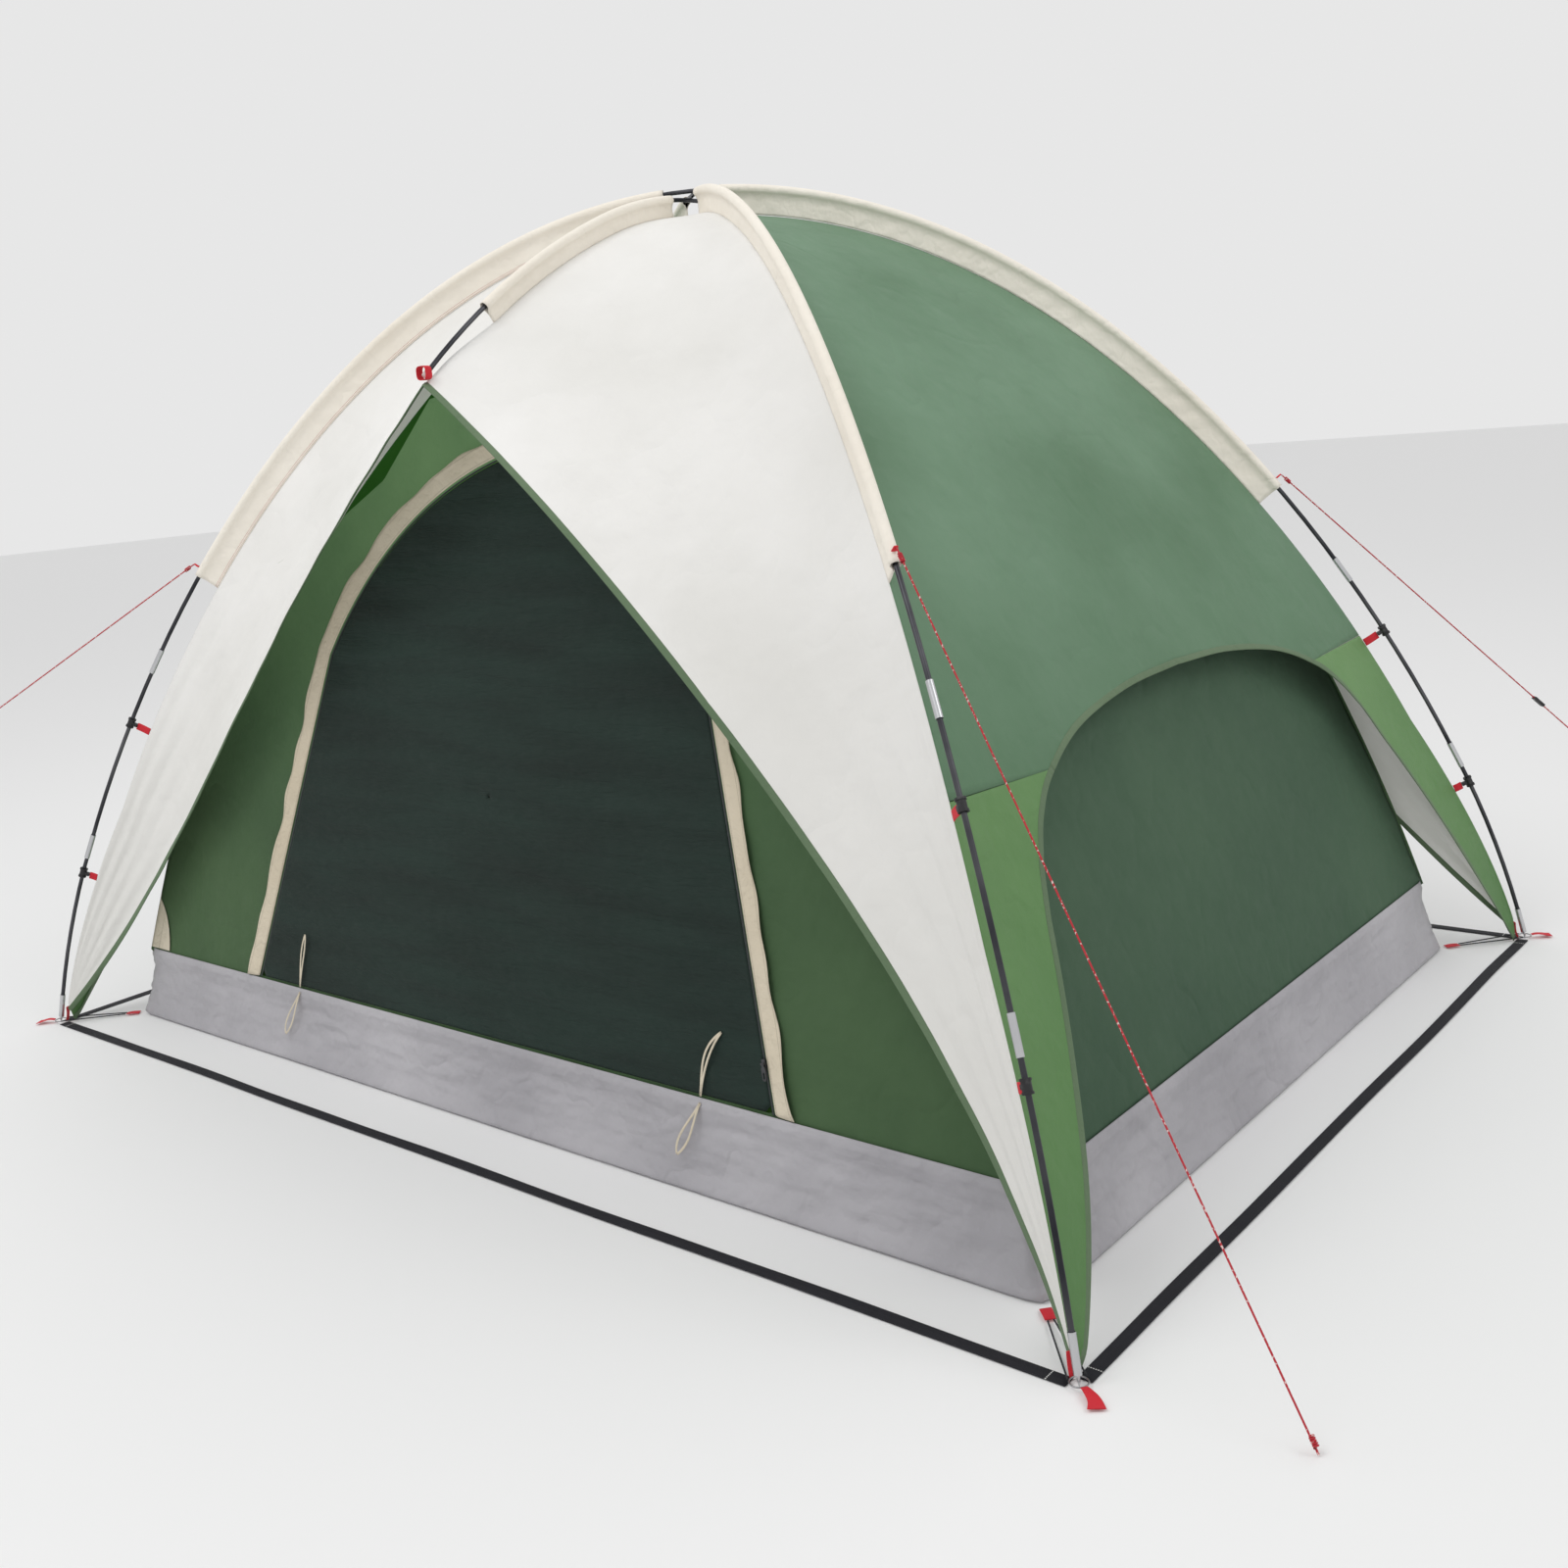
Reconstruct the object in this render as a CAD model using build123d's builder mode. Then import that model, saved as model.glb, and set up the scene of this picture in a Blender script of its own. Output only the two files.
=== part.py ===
"""A dome tent on poles: two crossed poles and a ridge pole, an outer fly and an inner tent.

Millimetres, +Z up.  The origin is on the ground in the middle of the tent, and the front faces -Y.
"""
from build123d import *
from math import cos, hypot, pi, sin, sqrt
import os

# Driving dimensions
FOOT_SPAN_X = 3000.0  # between the pole feet, along the front
FOOT_SPAN_Y = 2160.0  # between the pole feet, front to back
CROWN_HEIGHT = 1881.0  # middle of the crossed poles, above the ground
POLE_FULLNESS = 0.79  # how round-shouldered the pole's curve is, 0.5 for an ellipse and 1 for a parabola
POLE_RADIUS = 4.75
POLE_BORE = 2.6
SHOCK_CORD_RADIUS = 1.5
FERRULE_RADIUS = 6.4
FERRULE_BORE = 5.65  # a straight ferrule over a slightly curved pole
FERRULE_LENGTH = 65.0
FOOT_FERRULE_LENGTH = 61.0
PIN_LENGTH = 14.0
FIRST_JOINT = 494.0  # along the pole, from its foot to the first ferrule
JOINT_PITCH = 523.5
SLEEVE_DEPTH = 52.0  # from the pole's middle in to the fly's seam
SLEEVE_RADIUS = 10.8
SLEEVE_BORE = 9.2
SLEEVE_END = 1275.0  # along the pole, from its foot to the sleeve's lower end
SLEEVE_CROWN_GAP = 62.0  # from the crown to the sleeve's upper end
CLIP_PLACES = (420.0, 843.0)  # along the pole, from its foot
CLOTH = 2.0
SEAM_GAP = 1.0

RIDGE_TIP = (800.0, 1512.0)  # the ridge pole's end: distance forward and height
RIDGE_JOINT_Y = 262.0
RIDGE_SLEEVE = (70.0, 646.0)  # where its sleeve starts and ends, forward of the crown
RIDGE_DEPTH = 36.0
PEAK = (818.0, 1485.0)  # the top of the fly's front opening: distance forward and height

SIDE_ARCH_CROWN = 838.0
SIDE_ARCH_FOOT = 1052.0
HEM = 12.0

FLOOR_X, FLOOR_Y = 1360.0, 935.0
TUB_HEIGHT = 165.0
WALL_LEAN = 0.22  # the front and back walls lean in by this much of their height
EAVES = 1085.0
INNER_PEAK = 1505.0  # top of the inner tent's front and back walls
INNER_CROWN = 1715.0

DOOR_SILL = 178.0
DOOR_HALF_SILL = 800.0
DOOR_SHOULDER = (585.0, 900.0)
DOOR_TOP = 1352.0
DOOR_GAP = 6.0
FLAP_WIDTH = 40.0

HALF_DIAGONAL = hypot(FOOT_SPAN_X, FOOT_SPAN_Y) / 2
HALF_X, HALF_Y = FOOT_SPAN_X / 2, FOOT_SPAN_Y / 2
DIAGONAL_LIFT = 5.2  # one crossed pole lies on the other, so they are lifted and lowered by this
RIDGE_CROWN = CROWN_HEIGHT - DIAGONAL_LIFT - 2 * POLE_RADIUS - 0.5  # the ridge pole runs under both
LEGS = {"front_left": (-1, -1), "front_right": (1, -1), "back_left": (-1, 1), "back_right": (1, 1)}

# Guy lines: where each leaves its sleeve's end and where it stops
GUY_RADIUS = 1.5
GUY_ENDS = {
    "front_right": (1830.0, -1050.0, GUY_RADIUS),
    "back_right": (1885.0, 1665.0, GUY_RADIUS),
    "front_left": (-1620.0, -1088.0, 792.0),
}
GUY_SLIDER_SHARE = 0.52  # how far down the back right line its slider stands

os.makedirs("parts", exist_ok=True)


def save(part, name):
    """Labels a finished piece and writes its STEP file."""
    part.label = name
    export_step(part, f"parts/{name}.step")


# ---------------------------------------------------------------- the poles' curves
def pole_height(u):
    """Height of a crossed pole, with u from 0 at its foot to 1 at the crown."""
    return CROWN_HEIGHT * (1 - (1 - u) ** 2) ** POLE_FULLNESS


def curve_point(u):
    """A point of the pole's curve in its own upright plane: (distance from the crown, height)."""
    return HALF_DIAGONAL * (1 - u), pole_height(u)


def share_at(length):
    """The share u of a half pole at a length along it from its foot."""
    steps = 4000
    travelled = 0.0
    last = curve_point(0)
    for i in range(1, steps + 1):
        here = curve_point(i / steps)
        travelled += hypot(here[0] - last[0], here[1] - last[1])
        if travelled >= length:
            return i / steps
        last = here
    return 1.0


def inward(u, depth):
    """The curve's point moved in towards the tent by a depth, square to the curve."""
    step = 0.004
    low, high = curve_point(max(0.001, u - step)), curve_point(min(1, u + step))
    run, rise = high[0] - low[0], high[1] - low[1]
    size = hypot(run, rise)
    point = curve_point(u)
    return point[0] + depth * (-rise / size), point[1] + depth * (run / size)


def seam_depth(u):
    """How far the fly's corner seam lies inside the pole: nearly nothing at the foot, then constant."""
    return SLEEVE_DEPTH - 36 * max(0.0, 1 - u / 0.12)


def seam_point(u):
    """The fly's corner seam in the pole's plane."""
    return inward(u, seam_depth(u))


def on_leg(leg, flat, lift=0.0):
    """A point of a pole's plane as a point of space, on one of the four legs."""
    x_side, y_side = LEGS[leg]
    reach = flat[0] / HALF_DIAGONAL
    return (x_side * HALF_X * reach, y_side * HALF_Y * reach, flat[1] + lift)


def seam_at_x(x):
    """Distance forward and height of the corner seam where it is x from the middle."""
    low, high = 0.0, 1.0
    for _ in range(40):
        middle = (low + high) / 2
        if seam_point(middle)[0] * HALF_X / HALF_DIAGONAL > x:
            low = middle
        else:
            high = middle
    flat = seam_point((low + high) / 2)
    return flat[0] * HALF_Y / HALF_DIAGONAL, flat[1]


def ridge_points():
    """The ridge pole's points in the middle plane, from its front tip to the crown: (forward, height)."""
    return (RIDGE_TIP, (545.0, 1692.0), (RIDGE_JOINT_Y, 1822.0), (0.0, RIDGE_CROWN))


JOINTS = [FIRST_JOINT + JOINT_PITCH * i for i in range(5)]
FOOT_U = share_at(PIN_LENGTH)


def lift_at(u, sign):
    """How much a crossed pole is lifted over the other one, growing towards the crown."""
    return sign * DIAGONAL_LIFT * u


def pole_arcs(leg, sign):
    """The circular arcs of half a crossed pole, from its foot to its middle piece."""
    marks = [FOOT_U] + [share_at(joint) for joint in JOINTS]
    arcs = []
    for low, high in zip(marks, marks[1:]):
        points = [on_leg(leg, curve_point(u), lift_at(u, sign)) for u in (low, (low + high) / 2, high)]
        arcs.append(ThreePointArc(*points))
    return arcs


def crown_arc(leg, sign):
    """The middle piece's arc, from one leg over the crown to the opposite leg."""
    u = share_at(JOINTS[-1])
    start = Vector(*on_leg(leg, curve_point(u), lift_at(u, sign)))
    return ThreePointArc(start, (0, 0, CROWN_HEIGHT + sign * DIAGONAL_LIFT), (-start.X, -start.Y, start.Z))


def ridge_arcs():
    """The ridge pole's three arcs, from front to back."""
    tip, bend, joint, crown = ridge_points()
    front = ThreePointArc((0, -tip[0], tip[1]), (0, -bend[0], bend[1]), (0, -joint[0], joint[1]))
    middle = ThreePointArc((0, -joint[0], joint[1]), (0, 0, crown[1]), (0, joint[0], joint[1]))
    back = ThreePointArc((0, joint[0], joint[1]), (0, bend[0], bend[1]), (0, tip[0], tip[1]))
    return [front, middle, back]


DIAGONALS = {
    "pole_front_left_to_back_right": ("front_left", "back_right", 1),
    "pole_front_right_to_back_left": ("front_right", "back_left", -1),
}
LEG_SIGN = {"front_left": 1, "back_right": 1, "front_right": -1, "back_left": -1}
LEG_ARCS = {leg: pole_arcs(leg, LEG_SIGN[leg]) for leg in LEGS}


def diagonal_arcs(name):
    """Every arc of one crossed pole, eleven pieces in all."""
    first, second, sign = DIAGONALS[name]
    return LEG_ARCS[first] + [crown_arc(first, sign)] + LEG_ARCS[second]


def at_length(leg, length):
    """A point of a leg's pole and the pole's direction there, upwards."""
    marks = [PIN_LENGTH] + JOINTS
    for arc, low, high in zip(LEG_ARCS[leg], marks, marks[1:]):
        if length <= high:
            share = (length - low) / (high - low)
            return arc @ share, arc % share
    return LEG_ARCS[leg][-1] @ 1, LEG_ARCS[leg][-1] % 1


def rod(path, radius, bore=0.0, gap=0.0):
    """A round tube along one arc, stopping short of both its ends by a small gap."""
    path = path.trim(gap / path.length, 1 - gap / path.length) if gap else path
    with BuildPart() as tube:
        with BuildSketch(Plane(origin=path @ 0, z_dir=path % 0)):
            Circle(radius)
            if bore:
                Circle(bore, mode=Mode.SUBTRACT)
        sweep(path=path)
    return tube.part


def tube_between(start, end, radius, bore=0.0):
    """A straight round tube between two points."""
    start, end = Vector(*start), Vector(*end)
    with BuildPart() as tube:
        with BuildSketch(Plane(origin=start, z_dir=end - start)):
            Circle(radius)
            if bore:
                Circle(bore, mode=Mode.SUBTRACT)
        extrude(amount=(end - start).length)
    return tube.part


# ---------------------------------------------------------------- poles
PIECE_GAP = 0.4  # between the ends of two pole pieces, inside their ferrule

for name in DIAGONALS:
    with BuildPart() as pole:
        add([rod(arc, POLE_RADIUS, POLE_BORE, PIECE_GAP) for arc in diagonal_arcs(name)])
    save(pole.part, name)

with BuildPart() as ridge_pole:
    add([rod(arc, POLE_RADIUS, POLE_BORE, PIECE_GAP) for arc in ridge_arcs()])
save(ridge_pole.part, "ridge_pole")

with BuildPart() as shock_cords:
    for name in DIAGONALS:
        add([rod(arc, SHOCK_CORD_RADIUS, 0, PIECE_GAP) for arc in diagonal_arcs(name)])
    add([rod(arc, SHOCK_CORD_RADIUS, 0, PIECE_GAP) for arc in ridge_arcs()])
save(shock_cords.part, "shock_cords")


def ferrule(place, direction, length, radius=FERRULE_RADIUS):
    """A metal sleeve over the joint of two pole pieces."""
    step = direction.normalized() * (length / 2)
    return tube_between(place - step, place + step, radius, FERRULE_BORE)


with BuildPart() as ferrules:
    for leg in LEGS:
        for arc in LEG_ARCS[leg]:
            add(ferrule(arc @ 1, arc % 1, FERRULE_LENGTH))
    for arc in ridge_arcs()[:2]:
        add(ferrule(arc @ 1, arc % 1, FERRULE_LENGTH))
save(ferrules.part, "pole_ferrules")

with BuildPart() as foot_ferrules:
    for leg in LEGS:
        low, high = at_length(leg, PIN_LENGTH)[0], at_length(leg, PIN_LENGTH + FOOT_FERRULE_LENGTH)[0]
        add(tube_between(low, high, FERRULE_RADIUS, FERRULE_BORE))
save(foot_ferrules.part, "foot_ferrules")

PIN_RADIUS, PIN_TIP, PIN_TAPER = 2.4, 0.9, 8.0
with BuildPart() as foot_pins:
    for leg in LEGS:
        foot = Vector(*on_leg(leg, curve_point(0)))
        top = at_length(leg, PIN_LENGTH)[0]
        with Locations(foot):
            Cone(PIN_TIP, PIN_RADIUS, PIN_TAPER, align=(Align.CENTER, Align.CENTER, Align.MIN))
        add(tube_between(foot + Vector(0, 0, PIN_TAPER), top, PIN_RADIUS))
save(foot_pins.part, "foot_pins")

CAP_RADIUS, CAP_LENGTH = 6.0, 16.0
with BuildPart() as ridge_caps:
    for arc, end, way in ((ridge_arcs()[0], 0, -1), (ridge_arcs()[2], 1, 1)):
        outward = (arc % end) * way
        add(tube_between(arc @ end, (arc @ end) + outward * CAP_LENGTH, CAP_RADIUS))
save(ridge_caps.part, "ridge_end_caps")


# ---------------------------------------------------------------- sleeves
def flat_ribbon(start, end, width, thickness, across):
    """A straight flat strip between two points, with its width along a given direction."""
    start, end, across = Vector(*start), Vector(*end), Vector(*across)
    run = end - start
    across = across - run * (across.dot(run) / run.dot(run))
    with BuildPart() as strip:
        with BuildSketch(Plane(origin=start, x_dir=across, z_dir=run)):
            Rectangle(width, thickness)
        extrude(amount=run.length)
    return strip.part


SLEEVE_CLOTH = 3.0
SLEEVE_SIDES = 8  # the tube of a sleeve is drawn with this many flats


def sleeve_outline(depth):
    """A sleeve's cross-section: a tube round the pole that runs into a web towards the fly's seam."""
    half = SLEEVE_CLOTH / 2
    turns = [2 * pi * (i + 0.5) / SLEEVE_SIDES for i in range(SLEEVE_SIDES)]
    tube = [(SLEEVE_RADIUS * sin(turn), -SLEEVE_RADIUS * cos(turn)) for turn in turns]
    before, after = tube[: SLEEVE_SIDES // 2], tube[SLEEVE_SIDES // 2:]
    neck = SLEEVE_RADIUS * cos(pi / SLEEVE_SIDES)
    return before + [(half, neck), (half, depth), (-half, depth), (-half, neck)] + after


def sleeve(stations, depth):
    """A sleeve through stations, each a place on the pole, the pole's direction and the way in."""
    with BuildPart() as cloth:
        for place, direction, way_in in stations:
            with BuildSketch(Plane(origin=place, x_dir=way_in.cross(direction), z_dir=direction)):
                with BuildLine():
                    Polyline(*sleeve_outline(depth), close=True)
                make_face()
        loft(ruled=True)
        for place, direction, way_in in stations:
            with BuildSketch(Plane(origin=place, x_dir=way_in.cross(direction), z_dir=direction)):
                RegularPolygon(SLEEVE_BORE, SLEEVE_SIDES, rotation=180 / SLEEVE_SIDES)
        loft(ruled=True, mode=Mode.SUBTRACT)
    return cloth.part


def station(arc, share, way_across):
    """A place on an arc, its direction there and the way in, below the arc."""
    direction = (arc % share).normalized()
    way_in = direction.cross(way_across).normalized()
    if way_in.Z > 0:
        way_in = way_in * -1
    return arc @ share, direction, way_in


def leg_sleeve(leg):
    """A corner pole's sleeve, from its lower end to just short of the crown."""
    arcs, middle = LEG_ARCS[leg], crown_arc(leg, LEG_SIGN[leg])
    first = (SLEEVE_END - JOINTS[1]) / JOINT_PITCH
    last = 0.5 - SLEEVE_CROWN_GAP / middle.length
    x_side, y_side = LEGS[leg]
    across = Vector(y_side * HALF_Y, -x_side * HALF_X, 0)
    places = [(arcs[2], first), (arcs[2], (1 + first) / 2)]
    places += [(arc, share) for arc in arcs[3:] for share in (0, 0.25, 0.5, 0.75)]
    places += [(middle, 0), (middle, last / 2), (middle, last)]
    depth = SLEEVE_DEPTH - SEAM_GAP + min(0, LEG_SIGN[leg]) * (DIAGONAL_LIFT + 0.4)
    return sleeve([station(arc, share, across) for arc, share in places], depth)


for leg in LEGS:
    save(leg_sleeve(leg), f"sleeve_{leg}")


def ridge_sleeve(front_to_back):
    """Half of the ridge pole's sleeve, between the crown and the pole's bare end."""
    front, middle, back = ridge_arcs()
    near, far = RIDGE_SLEEVE
    near_share = 0.5 - near / (2 * RIDGE_JOINT_Y)
    far_share = (RIDGE_TIP[0] - far) / (RIDGE_TIP[0] - RIDGE_JOINT_Y)
    places = [(front, far_share + (1 - far_share) * i / 4) for i in range(4)]
    places += [(middle, near_share * i / 2) for i in range(3)]
    if front_to_back:
        turned = {id(front): back, id(middle): middle}
        places = [(turned[id(arc)], 1 - share) for arc, share in reversed(places)]
    return sleeve([station(arc, share, Vector(1, 0, 0)) for arc, share in places], RIDGE_DEPTH - SEAM_GAP)


save(ridge_sleeve(False), "sleeve_ridge_front")
save(ridge_sleeve(True), "sleeve_ridge_back")


# ---------------------------------------------------------------- outer fly
def front_hem(x):
    """The opening's edge where it is x from the middle: distance forward and height."""
    share = x / HALF_X
    forward = PEAK[0] + 100 * share**1.25 + 164 * share**7
    return forward, 1500 * (1 - share) + 360 * share * (1 - share) - (1500 - PEAK[1]) * (1 - share) ** 6


def ridge_seam():
    """The fly's seam under the ridge pole, from near the crown towards the peak: points (forward, height)."""
    front, middle, _ = ridge_arcs()
    places = [(middle, 0.25), (front, 1.0), (front, 0.72), (front, 0.45), (front, 0.28)]
    points = []
    for arc, share in places:
        place, _, way_in = station(arc, share, Vector(1, 0, 0))
        point = place + way_in * (RIDGE_DEPTH + SEAM_GAP)
        points.append((-point.Y, point.Z))
    return points


def chord_lifts():
    """How far the ridge seam stands above the straight line from the crown to the peak: (share, lift)."""
    (start_y, start_z), (end_y, end_z) = seam_at_x(0), PEAK
    shares = [(y - start_y) / (end_y - start_y) for y, _ in ridge_seam()]
    return [(share, z - start_z - share * (end_z - start_z)) for share, (_, z) in zip(shares, ridge_seam())]


CHORD_LIFTS = chord_lifts()


def front_section(x):
    """Outer edge points of an end panel's cross-section at x, from the corner seam to the opening's edge."""
    seam, hem = seam_at_x(x), front_hem(x)
    fade = max(0.0, 1 - x / 620)
    run, fall = hem[0] - seam[0], hem[1] - seam[1]
    middle = [(seam[0] + run * share, seam[1] + fall * share + lift * fade + 8 * share * (1 - share))
              for share, lift in CHORD_LIFTS]
    return [seam, *middle, hem]


PANEL_STATIONS = (2.5, 120, 260, 420, 600, 780, 960, 1130, 1280, 1400, 1476)


def end_panel(x_side, y_side):
    """One half of the fly's front or back: ruled between upright sections across the tent."""
    with BuildPart() as panel:
        for x in PANEL_STATIONS:
            points = front_section(x)
            (seam_y, seam_z), hem = points[0], points[-1]
            run, fall = hem[0] - seam_y, hem[1] - seam_z
            size = hypot(run, fall)
            inner = [(y + CLOTH * fall / size, z - CLOTH * run / size) for y, z in points]
            outline = [(y_side * y, z) for y, z in points + inner[::-1]]
            with BuildSketch(Plane.YZ.offset(x_side * x)):
                with BuildLine():
                    Polyline(*outline, close=True)
                make_face()
        loft(ruled=True)
    return panel.part


ENDS = {"front": -1, "back": 1}
SIDES = {"left": -1, "right": 1}
for end, y_side in ENDS.items():
    for side, x_side in SIDES.items():
        save(end_panel(x_side, y_side), f"fly_{end}_{side}")


def end_binding(y_side):
    """The tape along an end opening's edge, from foot to foot over the peak."""
    stations = [-x for x in reversed(PANEL_STATIONS[1:])] + [0.0] + list(PANEL_STATIONS[1:])
    with BuildPart() as tape:
        for x in stations:
            y, z = front_hem(abs(x))
            top, bottom = z - 2.8, z - 2.8 - HEM
            outline = [(y + 1.5, top), (y + 1.5, bottom), (y - 1.5, bottom), (y - 1.5, top)]
            with BuildSketch(Plane.YZ.offset(x)):
                with BuildLine():
                    Polyline(*[(y_side * y, z) for y, z in outline], close=True)
                make_face()
        loft(ruled=True)
    return tape.part


for end, y_side in ENDS.items():
    save(end_binding(y_side), f"hem_binding_{end}")


def side_profile(depth):
    """The side panel's cross-section line, inside the corner seam by a depth: points (x, z), foot to crown."""
    shares = (0.008, 0.03, 0.06, 0.1, 0.15, 0.21, 0.28, 0.36, 0.45, 0.55, 0.66, 0.78, 0.9)
    scale = HALF_X / HALF_DIAGONAL
    points = [inward(u, seam_depth(u) + depth) for u in shares]
    return [(s * scale, z) for s, z in points] + [(0, CROWN_HEIGHT - SLEEVE_DEPTH - depth)]


def arch_outline(inset):
    """The side opening's outline, upright and facing sideways, smaller by an inset."""
    foot, waist, shoulder, turn = SIDE_ARCH_FOOT - inset, 713 - inset, 655 - inset, 540 - inset
    top = SIDE_ARCH_CROWN - inset
    left = Polyline((-foot, -20), (-foot, 0), (-waist, 600 - inset / 2))
    first = ThreePointArc(left @ 1, (-shoulder, 690 - inset * 0.8), (-turn, 758 - inset))
    crown = ThreePointArc(first @ 1, (0, top), (turn, 758 - inset))
    second = ThreePointArc(crown @ 1, (shoulder, 690 - inset * 0.8), (waist, 600 - inset / 2))
    right = Polyline(second @ 1, (foot, 0), (foot, -20))
    Line(right @ 1, left @ 0)


def side_cloth(depth, inset, ring=0.0):
    """The right side's cloth, cut by both corner seams, with its arch, or only a ring along the arch."""
    outer, inner = side_profile(depth), side_profile(depth + CLOTH)
    slope = FOOT_SPAN_Y / FOOT_SPAN_X
    with BuildPart() as cloth:
        with BuildSketch(Plane.XZ):
            with BuildLine():
                Polyline(*outer, *reversed(inner), close=True)
            make_face()
        extrude(amount=HALF_Y, both=True)
        with BuildSketch():
            with BuildLine():
                reach = HALF_X + 20
                Polyline((5, 0), (reach, slope * reach - 3), (reach, 3 - slope * reach), close=True)
            make_face()
        extrude(amount=CROWN_HEIGHT, mode=Mode.INTERSECT)
        if ring:
            with BuildSketch(Plane.YZ):
                with BuildLine():
                    arch_outline(inset)
                make_face()
            extrude(amount=HALF_X, mode=Mode.INTERSECT)
        with BuildSketch(Plane.YZ):
            with BuildLine():
                arch_outline(inset + ring)
            make_face()
        extrude(amount=HALF_X, mode=Mode.SUBTRACT)
    return cloth.part


YOKE = ((630, 683), (960, 800))  # the seam between a leg panel and the side panel: (from the middle, height)


def below_yoke(y_side):
    """A block that holds one leg panel's share of the side cloth."""
    (near, low), (far, high) = YOKE
    with BuildPart() as block:
        with BuildSketch(Plane.YZ):
            with BuildLine():
                outline = ((near, low), (far, high), (1200, high), (1200, -30), (near, -30))
                Polyline(*[(y_side * y, z) for y, z in outline], close=True)
            make_face()
        extrude(amount=HALF_X + 20)
    return block.part


right_side = side_cloth(0, 0)
with BuildPart() as upper_side:
    add(right_side)
    for y_side in (-1, 1):
        add(below_yoke(y_side), mode=Mode.SUBTRACT)
save(upper_side.part, "fly_side_right")
save(mirror(upper_side.part, about=Plane.YZ), "fly_side_left")

for end, y_side in ENDS.items():
    with BuildPart() as leg_panel:
        add(right_side)
        add(below_yoke(y_side), mode=Mode.INTERSECT)
    save(leg_panel.part, f"leg_panel_{end}_right")
    save(mirror(leg_panel.part, about=Plane.YZ), f"leg_panel_{end}_left")

side_binding = side_cloth(0, SEAM_GAP, HEM)
save(side_binding, "hem_binding_right")
save(mirror(side_binding, about=Plane.YZ), "hem_binding_left")


# ---------------------------------------------------------------- clips and webbing
CLIP_RADIUS, CLIP_LENGTH, CLIP_BORE = 8.0, 24.0, 5.4
CLIP_ARM = (9.0, 8.0, 17.0)  # width, height and reach from the pole's middle
TAB_WIDTH, TAB_CLOTH = 18.0, 1.6


def leg_normals(leg):
    """The leg's level direction across its pole's plane."""
    x_side, y_side = LEGS[leg]
    return Vector(y_side * HALF_Y, -x_side * HALF_X, 0).normalized()


def clip_frame(leg, length):
    """A clip's place on its pole, the pole's direction there and the way in to the fly."""
    place, direction = at_length(leg, length)
    across = leg_normals(leg)
    way_in = direction.cross(across)
    if way_in.dot(Vector(-place.X, -place.Y, 0)) < 0:
        way_in = way_in * -1
    return place, direction, way_in.normalized()


with BuildPart() as clips:
    for leg in LEGS:
        for length in CLIP_PLACES:
            place, direction, way_in = clip_frame(leg, length)
            step = direction.normalized() * (CLIP_LENGTH / 2)
            with BuildPart(mode=Mode.PRIVATE) as clip:
                add(tube_between(place - step, place + step, CLIP_RADIUS))
                for share in (-0.8, 0.8):
                    middle = place + step * share
                    half = direction.normalized() * 2
                    add(tube_between(middle - half, middle + half, CLIP_RADIUS + 1.4))
                add(flat_ribbon(place, place + way_in * CLIP_ARM[2], CLIP_ARM[0], CLIP_ARM[1],
                                leg_normals(leg)))
                add(tube_between(place - step * 2, place + step * 2, CLIP_BORE), mode=Mode.SUBTRACT)
            add(clip.part)
save(clips.part, "pole_clips")

with BuildPart() as clip_tabs:
    for leg in LEGS:
        for length in CLIP_PLACES:
            place, direction, way_in = clip_frame(leg, length)
            depth = seam_depth(share_at(length))
            add(flat_ribbon(place + way_in * (CLIP_ARM[2] + 0.3), place + way_in * (depth - 1.2),
                            TAB_WIDTH, TAB_CLOTH, direction))
save(clip_tabs.part, "clip_tabs")

with BuildPart() as ridge_loops:
    for y_side in (-1, 1):
        with BuildSketch(Plane.XZ.offset(-y_side * (RIDGE_TIP[0] + 12.0))):
            with Locations((0, RIDGE_TIP[1] - 4.4)):
                Rectangle(30, 27.4)
                Rectangle(26.8, 24.2, mode=Mode.SUBTRACT)
        extrude(amount=8.5, both=True)
save(ridge_loops.part, "ridge_end_loops")

RING_RADIUS, RING_WIRE, RING_HEIGHT = 14.0, 1.3, 7.0
with BuildPart() as rings:
    for leg in LEGS:
        foot = Vector(*on_leg(leg, curve_point(0)))
        with Locations(foot + Vector(0, 0, RING_HEIGHT)):
            Torus(RING_RADIUS, RING_WIRE)
save(rings.part, "foot_rings")


def diagonal_way(leg):
    """The level direction from the tent's middle to a foot."""
    x_side, y_side = LEGS[leg]
    return Vector(x_side * HALF_X, y_side * HALF_Y, 0).normalized()


with BuildPart() as stubs:
    for leg in LEGS:
        foot, way = Vector(*on_leg(leg, curve_point(0))), diagonal_way(leg)
        add(flat_ribbon(foot - way * 16.5 + Vector(0, 0, 4), foot - way * 24 + Vector(0, 0, 42),
                        TAB_WIDTH - 4, TAB_CLOTH, leg_normals(leg)))
save(stubs.part, "foot_webbing_stubs")

with BuildPart() as pull_tabs:
    for leg in LEGS:
        foot, way = Vector(*on_leg(leg, curve_point(0))), diagonal_way(leg)
        across = leg_normals(leg)
        with BuildPart(mode=Mode.PRIVATE) as tab:
            for reach, height, width in ((16.0, 8.0, 11.0), (36.0, 6.0, 17.0), (62.0, 3.0, 27.0)):
                with BuildSketch(Plane(origin=foot + way * reach + Vector(0, 0, height), x_dir=across, z_dir=way)):
                    Rectangle(width, TAB_CLOTH)
            loft(ruled=True)
        add(tab.part)
save(pull_tabs.part, "foot_pull_tabs")

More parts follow.
